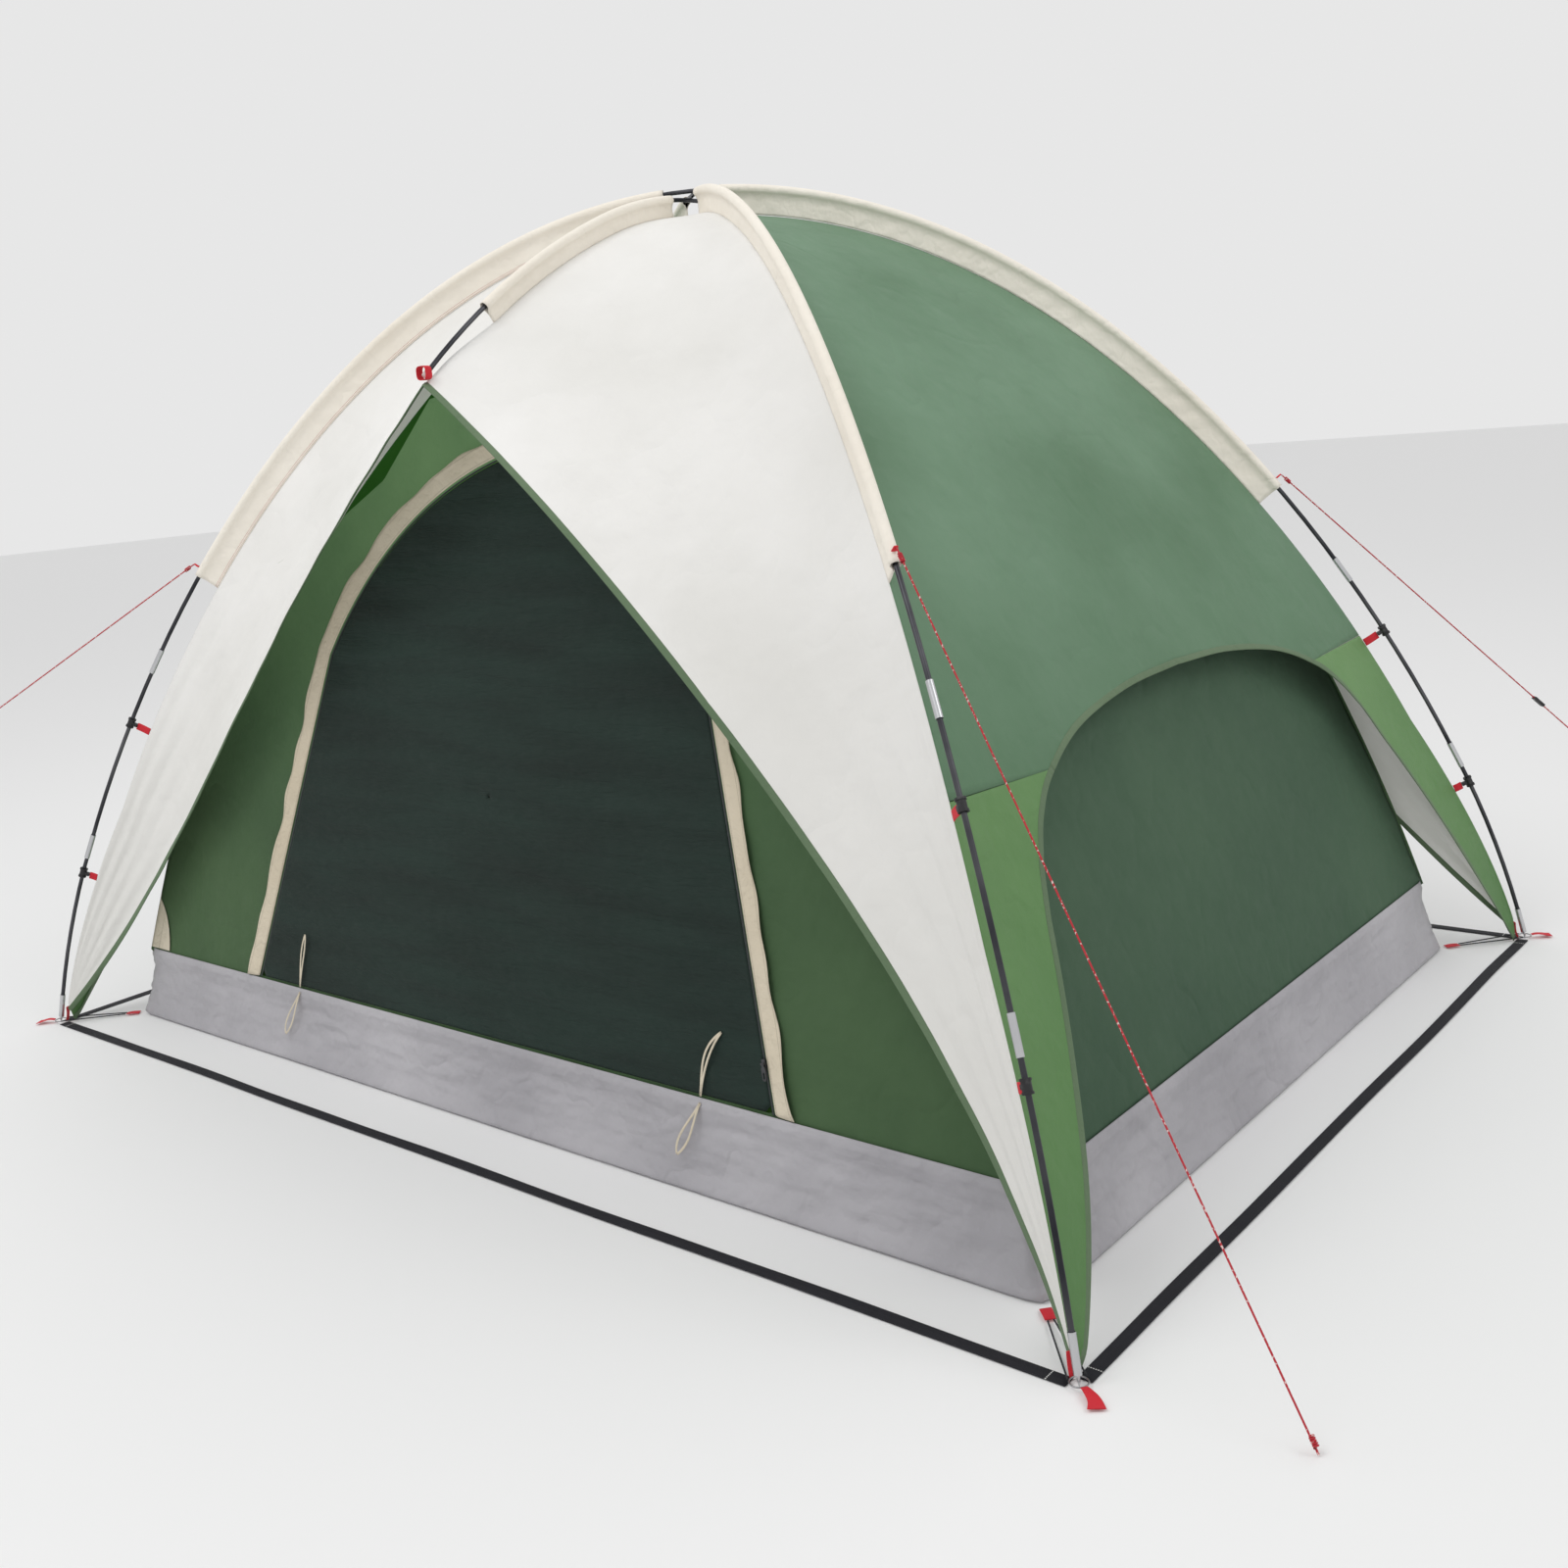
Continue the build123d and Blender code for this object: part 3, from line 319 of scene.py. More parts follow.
# ------------------------------------------------------------------ meshes
class Maker:
    """Turns grids of points into finished mesh objects that ride on the frame."""

    @staticmethod
    def mesh(name: str, points: Array, faces: Array, uv: Array, thick: float = 0.0) -> bpy.types.Object:
        """A mesh object from points, four-cornered faces and one UV per point.

        Args:
            name: the object's name.
            points: its points, one row each.
            faces: point numbers, four a row.
            uv: lengths in metres across and along the piece, one row for each point.
            thick: the cloth's thickness, added by a Solidify modifier about the surface.

        Returns:
            The linked object, at the origin.
        """
        data = bpy.data.meshes.new(name)
        data.vertices.add(len(points))
        data.vertices.foreach_set("co", np.ascontiguousarray(points, np.float32).ravel())
        data.loops.add(faces.size)
        data.loops.foreach_set("vertex_index", faces.astype(np.int32).ravel())
        data.polygons.add(len(faces))
        data.polygons.foreach_set("loop_start", np.arange(0, faces.size, 4, dtype=np.int32))
        data.update(calc_edges=True)
        layer = data.uv_layers.new(name="UVMap")
        layer.data.foreach_set("uv", np.ascontiguousarray(uv[faces.ravel()], np.float32).ravel())
        data.polygons.foreach_set("use_smooth", np.ones(len(faces), bool))
        data.validate()
        piece = bpy.data.objects.new(name, data)
        bpy.context.scene.collection.objects.link(piece)
        if thick:
            shell = piece.modifiers.new("thickness", "SOLIDIFY")
            shell.thickness, shell.offset = thick, 0.0
        return piece

    @staticmethod
    def quads(rows: int, columns: int, round_u: bool = False, round_v: bool = False) -> Array:
        """The faces of a grid of points, closed along either way where that is asked for.

        Args:
            rows: the grid's rows.
            columns: its columns.
            round_u: whether the last row joins the first.
            round_v: whether the last column joins the first.

        Returns:
            Point numbers, four a row.
        """
        i, j = np.arange(rows if round_u else rows - 1), np.arange(columns if round_v else columns - 1)
        i, j = np.meshgrid(i, j, indexing="ij")
        up, over = (i + 1) % rows, (j + 1) % columns
        corners = [i * columns + j, up * columns + j, up * columns + over, i * columns + over]
        return np.stack(corners, -1).reshape(-1, 4)

    @classmethod
    def cloth(cls, name: str, grid: Array, thick: float = 0.001, outward: Array | None = None,
              closed: bool = False) -> bpy.types.Object:
        """A sheet of cloth from a grid of points, with UVs in metres along its two ways.

        Args:
            name: the object's name.
            grid: points with rows along the first axis and columns along the second.
            thick: the cloth's thickness.
            outward: a direction that the sheet's middle faces.
            closed: whether the last row joins the first.

        Returns:
            The object.
        """
        rows, columns = grid.shape[:2]
        u = lengths(grid[:, columns // 2])[:, None] * np.ones((1, columns))
        v = lengths(grid, 1)
        faces = cls.quads(rows, columns, round_u=closed)
        if outward is not None:
            i, j = rows // 2, columns // 2
            facing = np.cross(grid[i + 1, j] - grid[i, j], grid[i, j + 1] - grid[i, j])
            if facing @ outward < 0:
                faces = faces[:, ::-1]
        return cls.mesh(name, grid.reshape(-1, 3), faces, np.stack([u, v], -1).reshape(-1, 2), thick)

    @classmethod
    def strips(cls, name: str, bands: list[tuple[Array, Array, Array]]) -> bpy.types.Object:
        """Several closed webbing bands as one mesh.

        Args:
            name: the object's name.
            bands: for each, its path and its half width and half thickness vectors, a row for each step.

        Returns:
            The object, with UVs of length along and turn across.
        """
        turns = np.linspace(0, 2 * pi, 13)[:-1] + pi / 12
        wide = np.sign(np.cos(turns)) * np.abs(np.cos(turns)) ** 0.35
        deep = np.sign(np.sin(turns)) * np.abs(np.sin(turns)) ** 0.8
        points, faces, uvs, start = [], [], [], 0
        for path, half_width, half_depth in bands:
            ring = path[:, None] + half_width[:, None] * wide[:, None] + half_depth[:, None] * deep[:, None]
            caps = np.stack([path[0][None].repeat(12, 0), path[-1][None].repeat(12, 0)])
            ring = np.concatenate([caps[:1], ring, caps[1:]])
            along = np.r_[0, lengths(path), lengths(path)[-1]]
            size = np.linalg.norm(half_width, axis=1)
            size = np.r_[size[0], size, size[-1]]
            uv = np.stack([along[:, None] * np.ones(12), size[:, None] * wide], -1)
            quads = cls.quads(len(ring), 12, round_v=True)
            facing = np.cross(half_width[0], half_depth[0]) @ (path[1] - path[0])
            quads = quads if facing < 0 else quads[:, ::-1]
            points.append(ring.reshape(-1, 3))
            uvs.append(uv.reshape(-1, 2))
            faces.append(quads + start)
            start += len(points[-1])
        return cls.mesh(name, np.vstack(points), np.vstack(faces), np.vstack(uvs))

    @staticmethod
    def band(path: Array, across: Array, width: Array | float, thick: float) -> tuple[Array, Array, Array]:
        """A band's path with its half width and half thickness at every step.

        Args:
            path: its middle line.
            across: the way its width goes, for all of it or for each step.
            width: its width, for all of it or for each step.
            thick: its thickness.

        Returns:
            The path, the half width vectors and the half thickness vectors.
        """
        run = unit(np.gradient(path, axis=0))
        across = np.broadcast_to(across, path.shape)
        across = unit(across - run * np.sum(across * run, -1, keepdims=True))
        half = np.broadcast_to(np.asarray(width, float) / 2, (len(path),))[:, None]
        return path, across * half, np.cross(run, across) * (thick / 2)

    @staticmethod
    def line(name: str, points: Array, diameter: float) -> bpy.types.Object:
        """A round cord as one smooth open curve through its points.

        Args:
            name: the object's name.
            points: the points that it runs past.
            diameter: how thick it is.

        Returns:
            The linked curve, at the origin.
        """
        data = bpy.data.curves.new(name, "CURVE")
        data.dimensions = "3D"
        spline = data.splines.new("NURBS")
        spline.points.add(len(points) - 1)
        spline.points.foreach_set("co", np.c_[points, np.ones(len(points))].astype(np.float32).ravel())
        spline.order_u = 3
        spline.use_endpoint_u = True
        data.bevel_depth = diameter / 2
        data.bevel_resolution = 3
        data.use_fill_caps = True
        piece = bpy.data.objects.new(name, data)
        bpy.context.scene.collection.objects.link(piece)
        return piece


def straight(start: Array, end: Array, count: int = 9) -> Array:
    """Evenly set out points from a start to an end."""
    return np.asarray(start) + np.linspace(0, 1, count)[:, None] * (np.asarray(end) - np.asarray(start))


# ------------------------------------------------------------------ materials
Number = "Value | float"


class Value:
    """A shader socket that can be used in sums."""

    def __init__(self, graph: "Graph", socket: bpy.types.NodeSocket) -> None:
        """Wraps a socket of a graph."""
        self.graph, self.socket = graph, socket

    def _math(self, operation: str, *others: Number) -> "Value":
        """A Math node on this value and others."""
        node = self.graph.node("Math", {i: v for i, v in enumerate((self, *others))}, operation=operation)
        return Value(self.graph, node.outputs[0])

    def __add__(self, other: Number) -> "Value":
        """The sum."""
        return self._math("ADD", other)

    __radd__ = __add__

    def __mul__(self, other: Number) -> "Value":
        """The product."""
        return self._math("MULTIPLY", other)

    __rmul__ = __mul__

    def __sub__(self, other: Number) -> "Value":
        """The difference."""
        return self._math("SUBTRACT", other)

    def __rsub__(self, other: Number) -> "Value":
        """The difference from another number."""
        return self * -1.0 + other

    def __truediv__(self, other: Number) -> "Value":
        """The quotient."""
        return self._math("DIVIDE", other)

    def __lt__(self, other: Number) -> "Value":
        """1 where this is less."""
        return self._math("LESS_THAN", other)

    def __gt__(self, other: Number) -> "Value":
        """1 where this is greater."""
        return self._math("GREATER_THAN", other)

    def __abs__(self) -> "Value":
        """The size without its sign."""
        return self._math("ABSOLUTE")

    def fract(self) -> "Value":
        """The part after the point."""
        return self._math("FRACT")

    def sine(self) -> "Value":
        """The sine."""
        return self._math("SINE")

    def clamp(self) -> "Value":
        """Held between 0 and 1."""
        return self._math("MAXIMUM", 0.0)._math("MINIMUM", 1.0)


def srgb(code: str) -> tuple[float, float, float, float]:
    """A colour from six hexadecimal digits, as linear red, green, blue and alpha."""
    parts = [int(code[i:i + 2], 16) / 255 for i in (0, 2, 4)]
    return (*[p / 12.92 if p <= 0.04045 else ((p + 0.055) / 1.055) ** 2.4 for p in parts], 1.0)


class Graph:
    """A material's node tree with short ways to add to it."""

    def __init__(self, name: str) -> None:
        """Starts a material with an empty Principled shader.

        Args:
            name: the material's name.
        """
        self.material = bpy.data.materials.new(name)
        self.material.use_nodes = True
        self.tree = self.material.node_tree
        self.shader = self.tree.nodes["Principled BSDF"]

    def feed(self, socket: bpy.types.NodeSocket, value: object) -> None:
        """Links a wrapped value or another socket to an input, or sets a constant on it.

        Args:
            socket: the input.
            value: what goes into it.
        """
        if isinstance(value, Value):
            self.tree.links.new(value.socket, socket)
        elif isinstance(value, bpy.types.NodeSocket):
            self.tree.links.new(value, socket)
        else:
            socket.default_value = value

    def node(self, kind: str, sockets: dict, **settings: object) -> bpy.types.Node:
        """Adds a node.

        Args:
            kind: the node's type, without ShaderNode in front.
            sockets: values, links or wrapped values by the input's name or number.
            settings: the node's own settings.

        Returns:
            The node.
        """
        node = self.tree.nodes.new("ShaderNode" + kind)
        for key, value in settings.items():
            setattr(node, key, value)
        for key, value in sockets.items():
            self.feed(node.inputs[key], value)
        return node

    def split(self, source: str) -> tuple[Value, Value, Value]:
        """The three numbers of a texture coordinate, such as UV or Object.

        Args:
            source: the coordinate's name.

        Returns:
            The three numbers, each as a wrapped value.
        """
        place = self.node("TexCoord", {}).outputs[source]
        parts = self.node("SeparateXYZ", {0: place})
        return tuple(Value(self, parts.outputs[k]) for k in range(3))

    def noise(self, scale: float, detail: float = 3.0,
              stretch: tuple[float, float, float] = (1, 1, 1)) -> Value:
        """Soft noise between 0 and 1 over the object.

        Args:
            scale: how fine it is.
            detail: how many finer layers it has.
            stretch: the scale's factors along x, y and z.

        Returns:
            The noise.
        """
        place = self.node("TexCoord", {}).outputs["Object"]
        scaled = self.node("Mapping", {0: place, "Scale": stretch})
        made = self.node("TexNoise", {"Vector": scaled.outputs[0], "Scale": scale, "Detail": detail})
        return Value(self, made.outputs[0])

    def blend(self, share: Value | float, low: object, high: object) -> bpy.types.NodeSocket:
        """A colour between two colours."""
        node = self.node("Mix", {0: share, 6: low, 7: high}, data_type="RGBA")
        return node.outputs[2]

    def relief(self, height: Value, depth: float, strength: float = 1.0,
               under: bpy.types.NodeSocket | None = None) -> bpy.types.NodeSocket:
        """A bumped normal from a height, with a depth in metres.

        Args:
            height: the height, of the order of one.
            depth: what a height of one stands for.
            strength: how much of the bump shows.
            under: a normal to bump further.

        Returns:
            The normal.
        """
        sockets = {"Height": height, "Distance": depth, "Strength": strength}
        if under is not None:
            sockets["Normal"] = under
        return self.node("Bump", sockets).outputs[0]

    def surface(self, **sockets: object) -> bpy.types.Material:
        """Sets the shader's sockets, named with low lines for spaces, and returns the material.

        Args:
            sockets: what goes into each.

        Returns:
            The material.
        """
        for key, value in sockets.items():
            self.feed(self.shader.inputs[key.replace("_", " ").title().replace("Ior", "IOR")], value)
        return self.material


@dataclass(frozen=True)
class Stitches:
    """A row of stitches along a cloth, at a distance from the start of its width."""

    place: float
    pitch: float = 0.0042
    width: float = 0.0014
    axis: int = 1


@dataclass(frozen=True)
class Cloth:
    """A woven cloth."""

    name: str
    colour: str
    shade: str
    slot: str
    roughness: float = 0.7
    crease: float = 0.0025
    crease_scale: float = 9.0
    patches: float = 2.2
    stretch: tuple[float, float, float] = (1, 1, 1)
    threads: float = 900.0
    sheen: float = 0.03
    # painted shade: (low, high, share); below the height high the colour goes towards the shade colour, by
    # share at low and below
    deep: tuple[float, float, float] | None = None
    # painted light: the cloth emits its own colour at this strength, for light coming through it; only above
    # glow_above where that is set
    glow: float = 0.0
    glow_above: float | None = None
    rows: tuple[Stitches, ...] = ()
    thread_colour: str = "C79A8C"

    def make(self) -> bpy.types.Material:
        """Builds the cloth: two close tones, a fine square weave, soft creases and any rows of stitches, and
        where asked painted shade lower down and a painted glow.

        Returns:
            The material.
        """
        g = Graph(self.name)
        u, v, _ = g.split("UV")
        tone = (g.noise(self.patches, 4.0, self.stretch) * 1.9 - 0.45).clamp()
        colour = g.blend(tone, srgb(self.colour), srgb(self.shade))
        # Painted shade: the cloth darkens towards the ground, where less light from above falls on it.
        if self.deep:
            low, high, share = self.deep
            height = ((g.split("Object")[2] - low) / (high - low)).clamp()
            colour = g.blend((1 - height) * share, colour, srgb(self.shade))
        weave = (u * (2 * pi * self.threads)).sine() * (v * (2 * pi * self.threads)).sine()
        colour = g.blend((weave * 0.06 + 0.06).clamp(), colour, srgb(self.shade))
        height = weave * 0.5 + 0.5
        rough = g.noise(40.0, 2.0) * 0.16 + (self.roughness - 0.08)
        normal = g.relief(g.noise(self.crease_scale, 3.0, self.stretch), self.crease * 4)
        normal = g.relief(g.noise(self.crease_scale * 6, 4.0, self.stretch), self.crease * 0.5, 1.0, normal)
        lines = (abs(g.noise(self.crease_scale * 0.9, 2.0, self.stretch) - 0.5) * 18).clamp()
        normal = g.relief(lines, self.crease * 0.45, 0.7, normal)
        for row in self.rows:
            across, along = (v, u) if row.axis else (u, v)
            near = abs(across - row.place) < row.width / 2
            dash = (along / row.pitch).fract() < 0.68
            mask = near * dash
            colour = g.blend(mask * 0.85, colour, srgb(self.thread_colour))
            groove = abs(across - row.place) < row.width * 1.6
            height = height + mask * 2.0 - groove * 1.4
        normal = g.relief(height, 0.0003, 0.6, normal)
        # Painted light: the emitted colour stands in for light shining through the cloth, rising from nothing
        # at glow_above to full 0.9 m higher where that is set.
        through = colour
        if self.glow_above is not None:
            light = ((g.split("Object")[2] - self.glow_above) / 0.9).clamp()
            through = g.blend(light, (0.0, 0.0, 0.0, 1), colour)
        extra = {"emission_color": through, "emission_strength": self.glow} if self.glow else {}
        return g.surface(base_color=colour, roughness=rough, normal=normal, sheen_weight=self.sheen,
                         sheen_roughness=0.5, specular_ior_level=0.22, **extra)


@dataclass(frozen=True)
class Webbing:
    """Narrow woven webbing with ribs across it and stitches near its ends."""

    name: str
    colour: str
    slot: str
    edge: str
    stitch: str | None = None
    stitch_x: float = HALF_X - 0.048
    stitch_y: float = HALF_Y - 0.046

    def make(self) -> bpy.types.Material:
        """Builds the webbing: diagonal ribs, worn lighter edges and, where asked, stitches near its ends.

        Returns:
            The material.
        """
        g = Graph(self.name)
        u, v, _ = g.split("UV")
        ribs = (u * (2 * pi * 420) + abs(v) * 1800).sine() * 0.5 + 0.5
        wear = (g.noise(18.0, 4.0) * 1.6 - 0.4).clamp()
        colour = g.blend(wear * 0.5 + ribs * 0.2, srgb(self.colour), srgb(self.edge))
        if self.stitch:
            x, y, _ = g.split("Object")
            ends = (abs(abs(x) - self.stitch_x) < 0.001) + (abs(abs(y) - self.stitch_y) < 0.001)
            row = ends.clamp() * ((v / 0.004 + 20).fract() < 0.66)
            colour = g.blend(row, colour, srgb(self.stitch))
        return g.surface(base_color=colour, roughness=g.noise(30.0) * 0.15 + 0.62,
                         normal=g.relief(ribs, 0.0004, 0.8), sheen_weight=0.03,
                         specular_ior_level=0.25)


@dataclass(frozen=True)
class Metal:
    """A drawn or bent metal."""

    name: str
    colour: str
    slot: str
    roughness: float
    scratch: float = 1.0
    metallic: float = 1.0

    def make(self) -> bpy.types.Material:
        """Builds the metal: drawn lines along it, uneven polish and small scratches.

        Returns:
            The material.
        """
        g = Graph(self.name)
        fine = g.noise(420.0, 5.0, (1, 1, 0.12))
        cloud = g.noise(7.0, 4.0)
        colour = g.blend((cloud * 1.8 - 0.5).clamp() * 0.35, srgb(self.colour), (0.35, 0.35, 0.37, 1))
        rough = fine * (0.18 * self.scratch) + cloud * 0.12 + (self.roughness - 0.14)
        return g.surface(base_color=colour, metallic=self.metallic, roughness=rough,
                         normal=g.relief(fine, 0.00006, 0.6))


@dataclass(frozen=True)
class Plastic:
    """A moulded plastic."""

    name: str
    colour: str
    slot: str
    roughness: float

    def make(self) -> bpy.types.Material:
        """Builds the plastic: a fine spark texture and slightly scuffed high spots.

        Returns:
            The material.
        """
        g = Graph(self.name)
        grain, scuff = g.noise(700.0, 2.0), (g.noise(60.0, 4.0) * 2.4 - 1.3).clamp()
        colour = g.blend(scuff * 0.5, srgb(self.colour), (0.3, 0.3, 0.3, 1))
        return g.surface(base_color=colour, roughness=grain * 0.12 + scuff * 0.2 + self.roughness,
                         normal=g.relief(grain, 0.00012, 0.7))


@dataclass(frozen=True)
class Braid:
    """A braided cord with flecks of a second colour."""

    name: str
    colour: str
    fleck: str
    slot: str

    def make(self) -> bpy.types.Material:
        """Builds the braid: crossed strands round the cord with every few picked out as flecks.

        Returns:
            The material.
        """
        g = Graph(self.name)
        x, y, z = g.split("Object")
        along = (x + y * 0.7 - z * 1.3) * 520.0
        strands = along.sine() * 0.5 + 0.5
        fleck = (g.noise(260.0, 1.0) > 0.6) * (strands > 0.35)
        colour = g.blend(fleck * 0.8, srgb(self.colour), srgb(self.fleck))
        return g.surface(base_color=colour, roughness=g.noise(90.0) * 0.1 + 0.6,
                         normal=g.relief(strands, 0.0004, 0.9))


@dataclass(frozen=True)
class Coil:
    """A zip's two rows of coil with the tape beside them."""

    name: str
    slot: str

    def make(self) -> bpy.types.Material:
        """Builds the zip: fine teeth across a dark tape.

        Returns:
            The material.
        """
        g = Graph(self.name)
        u, v, _ = g.split("UV")
        teeth = (u * (2 * pi * 700)).sine() * 0.5 + 0.5
        colour = g.blend(teeth * 0.6, srgb("23282A"), srgb("4A5150"))
        return g.surface(base_color=colour, roughness=0.5 + g.noise(60.0) * 0.1,
                         normal=g.relief(teeth, 0.0006, 0.9))


class Finish(Enum):
    """Every finish of the tent."""

    # FLY: painted shade lower down (deep) and a painted glow for light coming through the pale cloth.
    FLY = Cloth("pale fly cloth", "DEDDDB", "CBCAC6", "fly_cloth", 0.62, 0.004, 5.0,
                deep=(0.3, 1.1, 0.9), glow=0.24)
    SLEEVE = Cloth("cream sleeve cloth", "F5F0E6", "EBE3D5", "sleeve_cloth", 0.72, 0.002, 16.0,
                   rows=(Stitches(0.0035), Stitches(0.0075)), thread_colour="C9968A")
    # SIDE: painted shade, darker lower down (deep).
    SIDE = Cloth("green side cloth", "78977D", "567759", "side_cloth", 0.6, 0.0045, 5.5,
                 deep=(0.6, 1.2, 0.9))
    # LEG_CLOTH: painted shade, darker lower down (deep).
    LEG_CLOTH = Cloth("leaf green leg cloth", "7AA069", "587F4C", "leg_cloth", 0.6, 0.004, 8.0,
                      deep=(0.1, 0.85, 0.9))
    HEM = Cloth("grey green hem tape", "6E8266", "5A6F54", "hem_tape", 0.75, 0.001, 40.0, threads=700.0)
    # WALL: a painted glow from 0.55 m up, for light from above coming through the cloth.
    WALL = Cloth("olive wall cloth", "506A47", "3C5538", "wall_cloth", 0.72, 0.004, 6.0, glow=1.0,
                 glow_above=0.55)
    # painted shade: a darker copy of the wall cloth, without its glow, for the shaded side walls
    SIDE_WALL = Cloth("shaded green wall cloth", "4A644D", "3A5340", "wall_cloth", 0.72, 0.004, 6.0)
    # ROOF: a painted glow, for sky light coming through the fly and the roof cloth.
    ROOF = Cloth("bright green roof cloth", "64A03F", "558A38", "roof_cloth", 0.68, 0.003, 6.0, glow=0.7)
    DOOR = Cloth("dark door cloth", "20332C", "16231E", "door_mesh", 0.66, 0.0022, 7.0, stretch=(1, 1, 6),
                 threads=1200.0)
    FLOOR = Cloth("grey floor cloth", "C2C0C4", "9C9A9F", "floor_cloth", 0.5, 0.0045, 9.0)
    TAPE = Cloth("cream tape", "E2D8C4", "CBBFA8", "flap_cloth", 0.78, 0.002, 26.0,
                 rows=(Stitches(0.004), Stitches(0.036)), thread_colour="A59A85")
    STRAP = Webbing("black webbing", "1B1B20", "strap_webbing", "26262D", "D8D8D6")
    RED = Webbing("red webbing", "C81E2C", "red_webbing", "D8404A")
    POLE = Metal("dark anodised pole", "2A2B30", "pole_tube", 0.33)
    FERRULE = Metal("bare ferrule", "C9CACC", "ferrule_metal", 0.3)
    STEEL = Metal("bent steel wire", "9A9A9C", "ring_steel", 0.34)
    LACQUER = Metal("black lacquered zip metal", "1C1C1F", "slider_metal", 0.4, 0.5, 0.6)
    CAP = Plastic("white cap plastic", "E8E8E4", "cap_plastic", 0.3)
    CLIP = Plastic("black clip plastic", "17171A", "clip_plastic", 0.42)
    GUY = Braid("flecked red guy cord", "B3202E", "E6D8D2", "guy_cord")
    ELASTIC = Braid("dark elastic cord", "232428", "3C3D42", "elastic_cord")
    SHOCK = Braid("shock cord", "1D1D20", "8C8C90", "shock_cord")
    ZIP = Coil("coil zip", "zip_tape")

    @property
    @lru_cache(maxsize=None)
    def material(self) -> bpy.types.Material:
        """The finish's material, made once."""
        return self.value.make()

    def dress(self, piece: bpy.types.Object) -> bpy.types.Object:
        """Gives a piece this finish.

        Args:
            piece: the piece.

        Returns:
            The same piece.
        """
        piece.data.materials.clear()
        piece.data.materials.append(self.material)
        log.info("%s in %s", piece.name, self.value.name)
        return piece


# ------------------------------------------------------------------ shared shapes
def curve_through(points: tuple, count: int) -> Array:
    """A Catmull-Rom curve through points: each stretch is a cubic with the neighbours' chord as its end slopes.

    Args:
        points: the points.
        count: how many points to give.

    Returns:
        The curve's points.
    """
    p = np.asarray(points, float)
    p = np.vstack([2 * p[0] - p[1], p, 2 * p[-1] - p[-2]])
    place = np.linspace(0, len(points) - 1, count)
    i = np.minimum(place.astype(int), len(points) - 2)
    t = (place - i)[:, None]
    a, b, c, d = p[i], p[i + 1], p[i + 2], p[i + 3]
    return 0.5 * (2 * b + (c - a) * t + (2 * a - 5 * b + 4 * c - d) * t**2 + (3 * b - a - 3 * c + d) * t**3)


def grown(outline: Array, distance: Array | float) -> Array:
    """A flat line moved sideways by a distance, to its right as it runs."""
    run = unit(np.gradient(outline, axis=0))
    return outline + np.stack([run[:, 1], -run[:, 0]], -1) * np.asarray(distance)[..., None]


def rays(outline: Array, centre: Array, turns: Array) -> Array:
    """Where rays from a centre meet a closed outline, from the outline's own turns and distances.

    Args:
        outline: the closed outline.
        centre: the rays' centre.
        turns: the rays' angles.

    Returns:
        A point for each ray.
    """
    gaps = outline - centre
    angle = np.unwrap(np.arctan2(gaps[:, 1], gaps[:, 0]))
    size = np.hypot(gaps[:, 0], gaps[:, 1])
    if angle[-1] < angle[0]:
        angle, size = angle[::-1], size[::-1]
    turns = angle[0] + np.mod(turns - angle[0], 2 * pi)
    reach = np.interp(turns, np.r_[angle, angle[0] + 2 * pi], np.r_[size, size[0]])
    return centre + reach[:, None] * np.stack([np.cos(turns), np.sin(turns)], -1)


def dense(outline: Array, closed: bool = True, step: float = 0.004) -> Array:
    """A polyline with many more points on its straight stretches, its corners kept.

    Args:
        outline: the polyline.
        closed: whether its end joins its start.
        step: the longest gap between points.

    Returns:
        The new points.
    """
    points = np.vstack([outline, outline[:1]]) if closed else outline
    travelled = lengths(points)
    at = np.union1d(travelled, np.arange(0, travelled[-1], step))
    out = np.stack([np.interp(at, travelled, points[:, k]) for k in range(points.shape[1])], -1)
    return out[:-1] if closed else out


def pushed(grid: Array, amount: Array, outward: Array) -> Array:
    """A grid moved along its own normals, turned to the outward direction, by an amount at each point.

    Args:
        grid: the grid.
        amount: how far each point moves.
        outward: the way that counts as out.

    Returns:
        The moved grid.
    """
    normal = unit(np.cross(np.gradient(grid, axis=0), np.gradient(grid, axis=1)))
    facing = np.where(np.sum(normal * outward, -1, keepdims=True) < 0, -1.0, 1.0)
    return grid + normal * facing * amount[..., None]


def tube(path: Array, radius: float, sides: int = 10) -> Array:
    """A round tube's grid along a path, its rings turned without twist from step to step.

    Args:
        path: its middle line.
        radius: its radius.
        sides: points round it.

    Returns:
        The grid of points.
    """
    run = unit(np.gradient(path, axis=0))
    across = unit(np.cross(run, np.where(np.abs(run[:, 2:]) > 0.95, [[1.0, 0, 0]], [[0, 0, 1.0]])))
    other = np.cross(run, across)
    turns = np.linspace(0, 2 * pi, sides, endpoint=False)[None, :, None]
    return path[:, None] + radius * (across[:, None] * np.cos(turns) + other[:, None] * np.sin(turns))


def sheet(piece: bpy.types.Object) -> bpy.types.Object:
    """Args:
        piece: the cloth.

    Returns:
        The same piece.
    """
    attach(piece, "tent")
    return piece


ENDS = {"front": -1, "back": 1}
SIDES = {"left": -1, "right": 1}
UP = np.array([0.0, 0.0, 1.0])


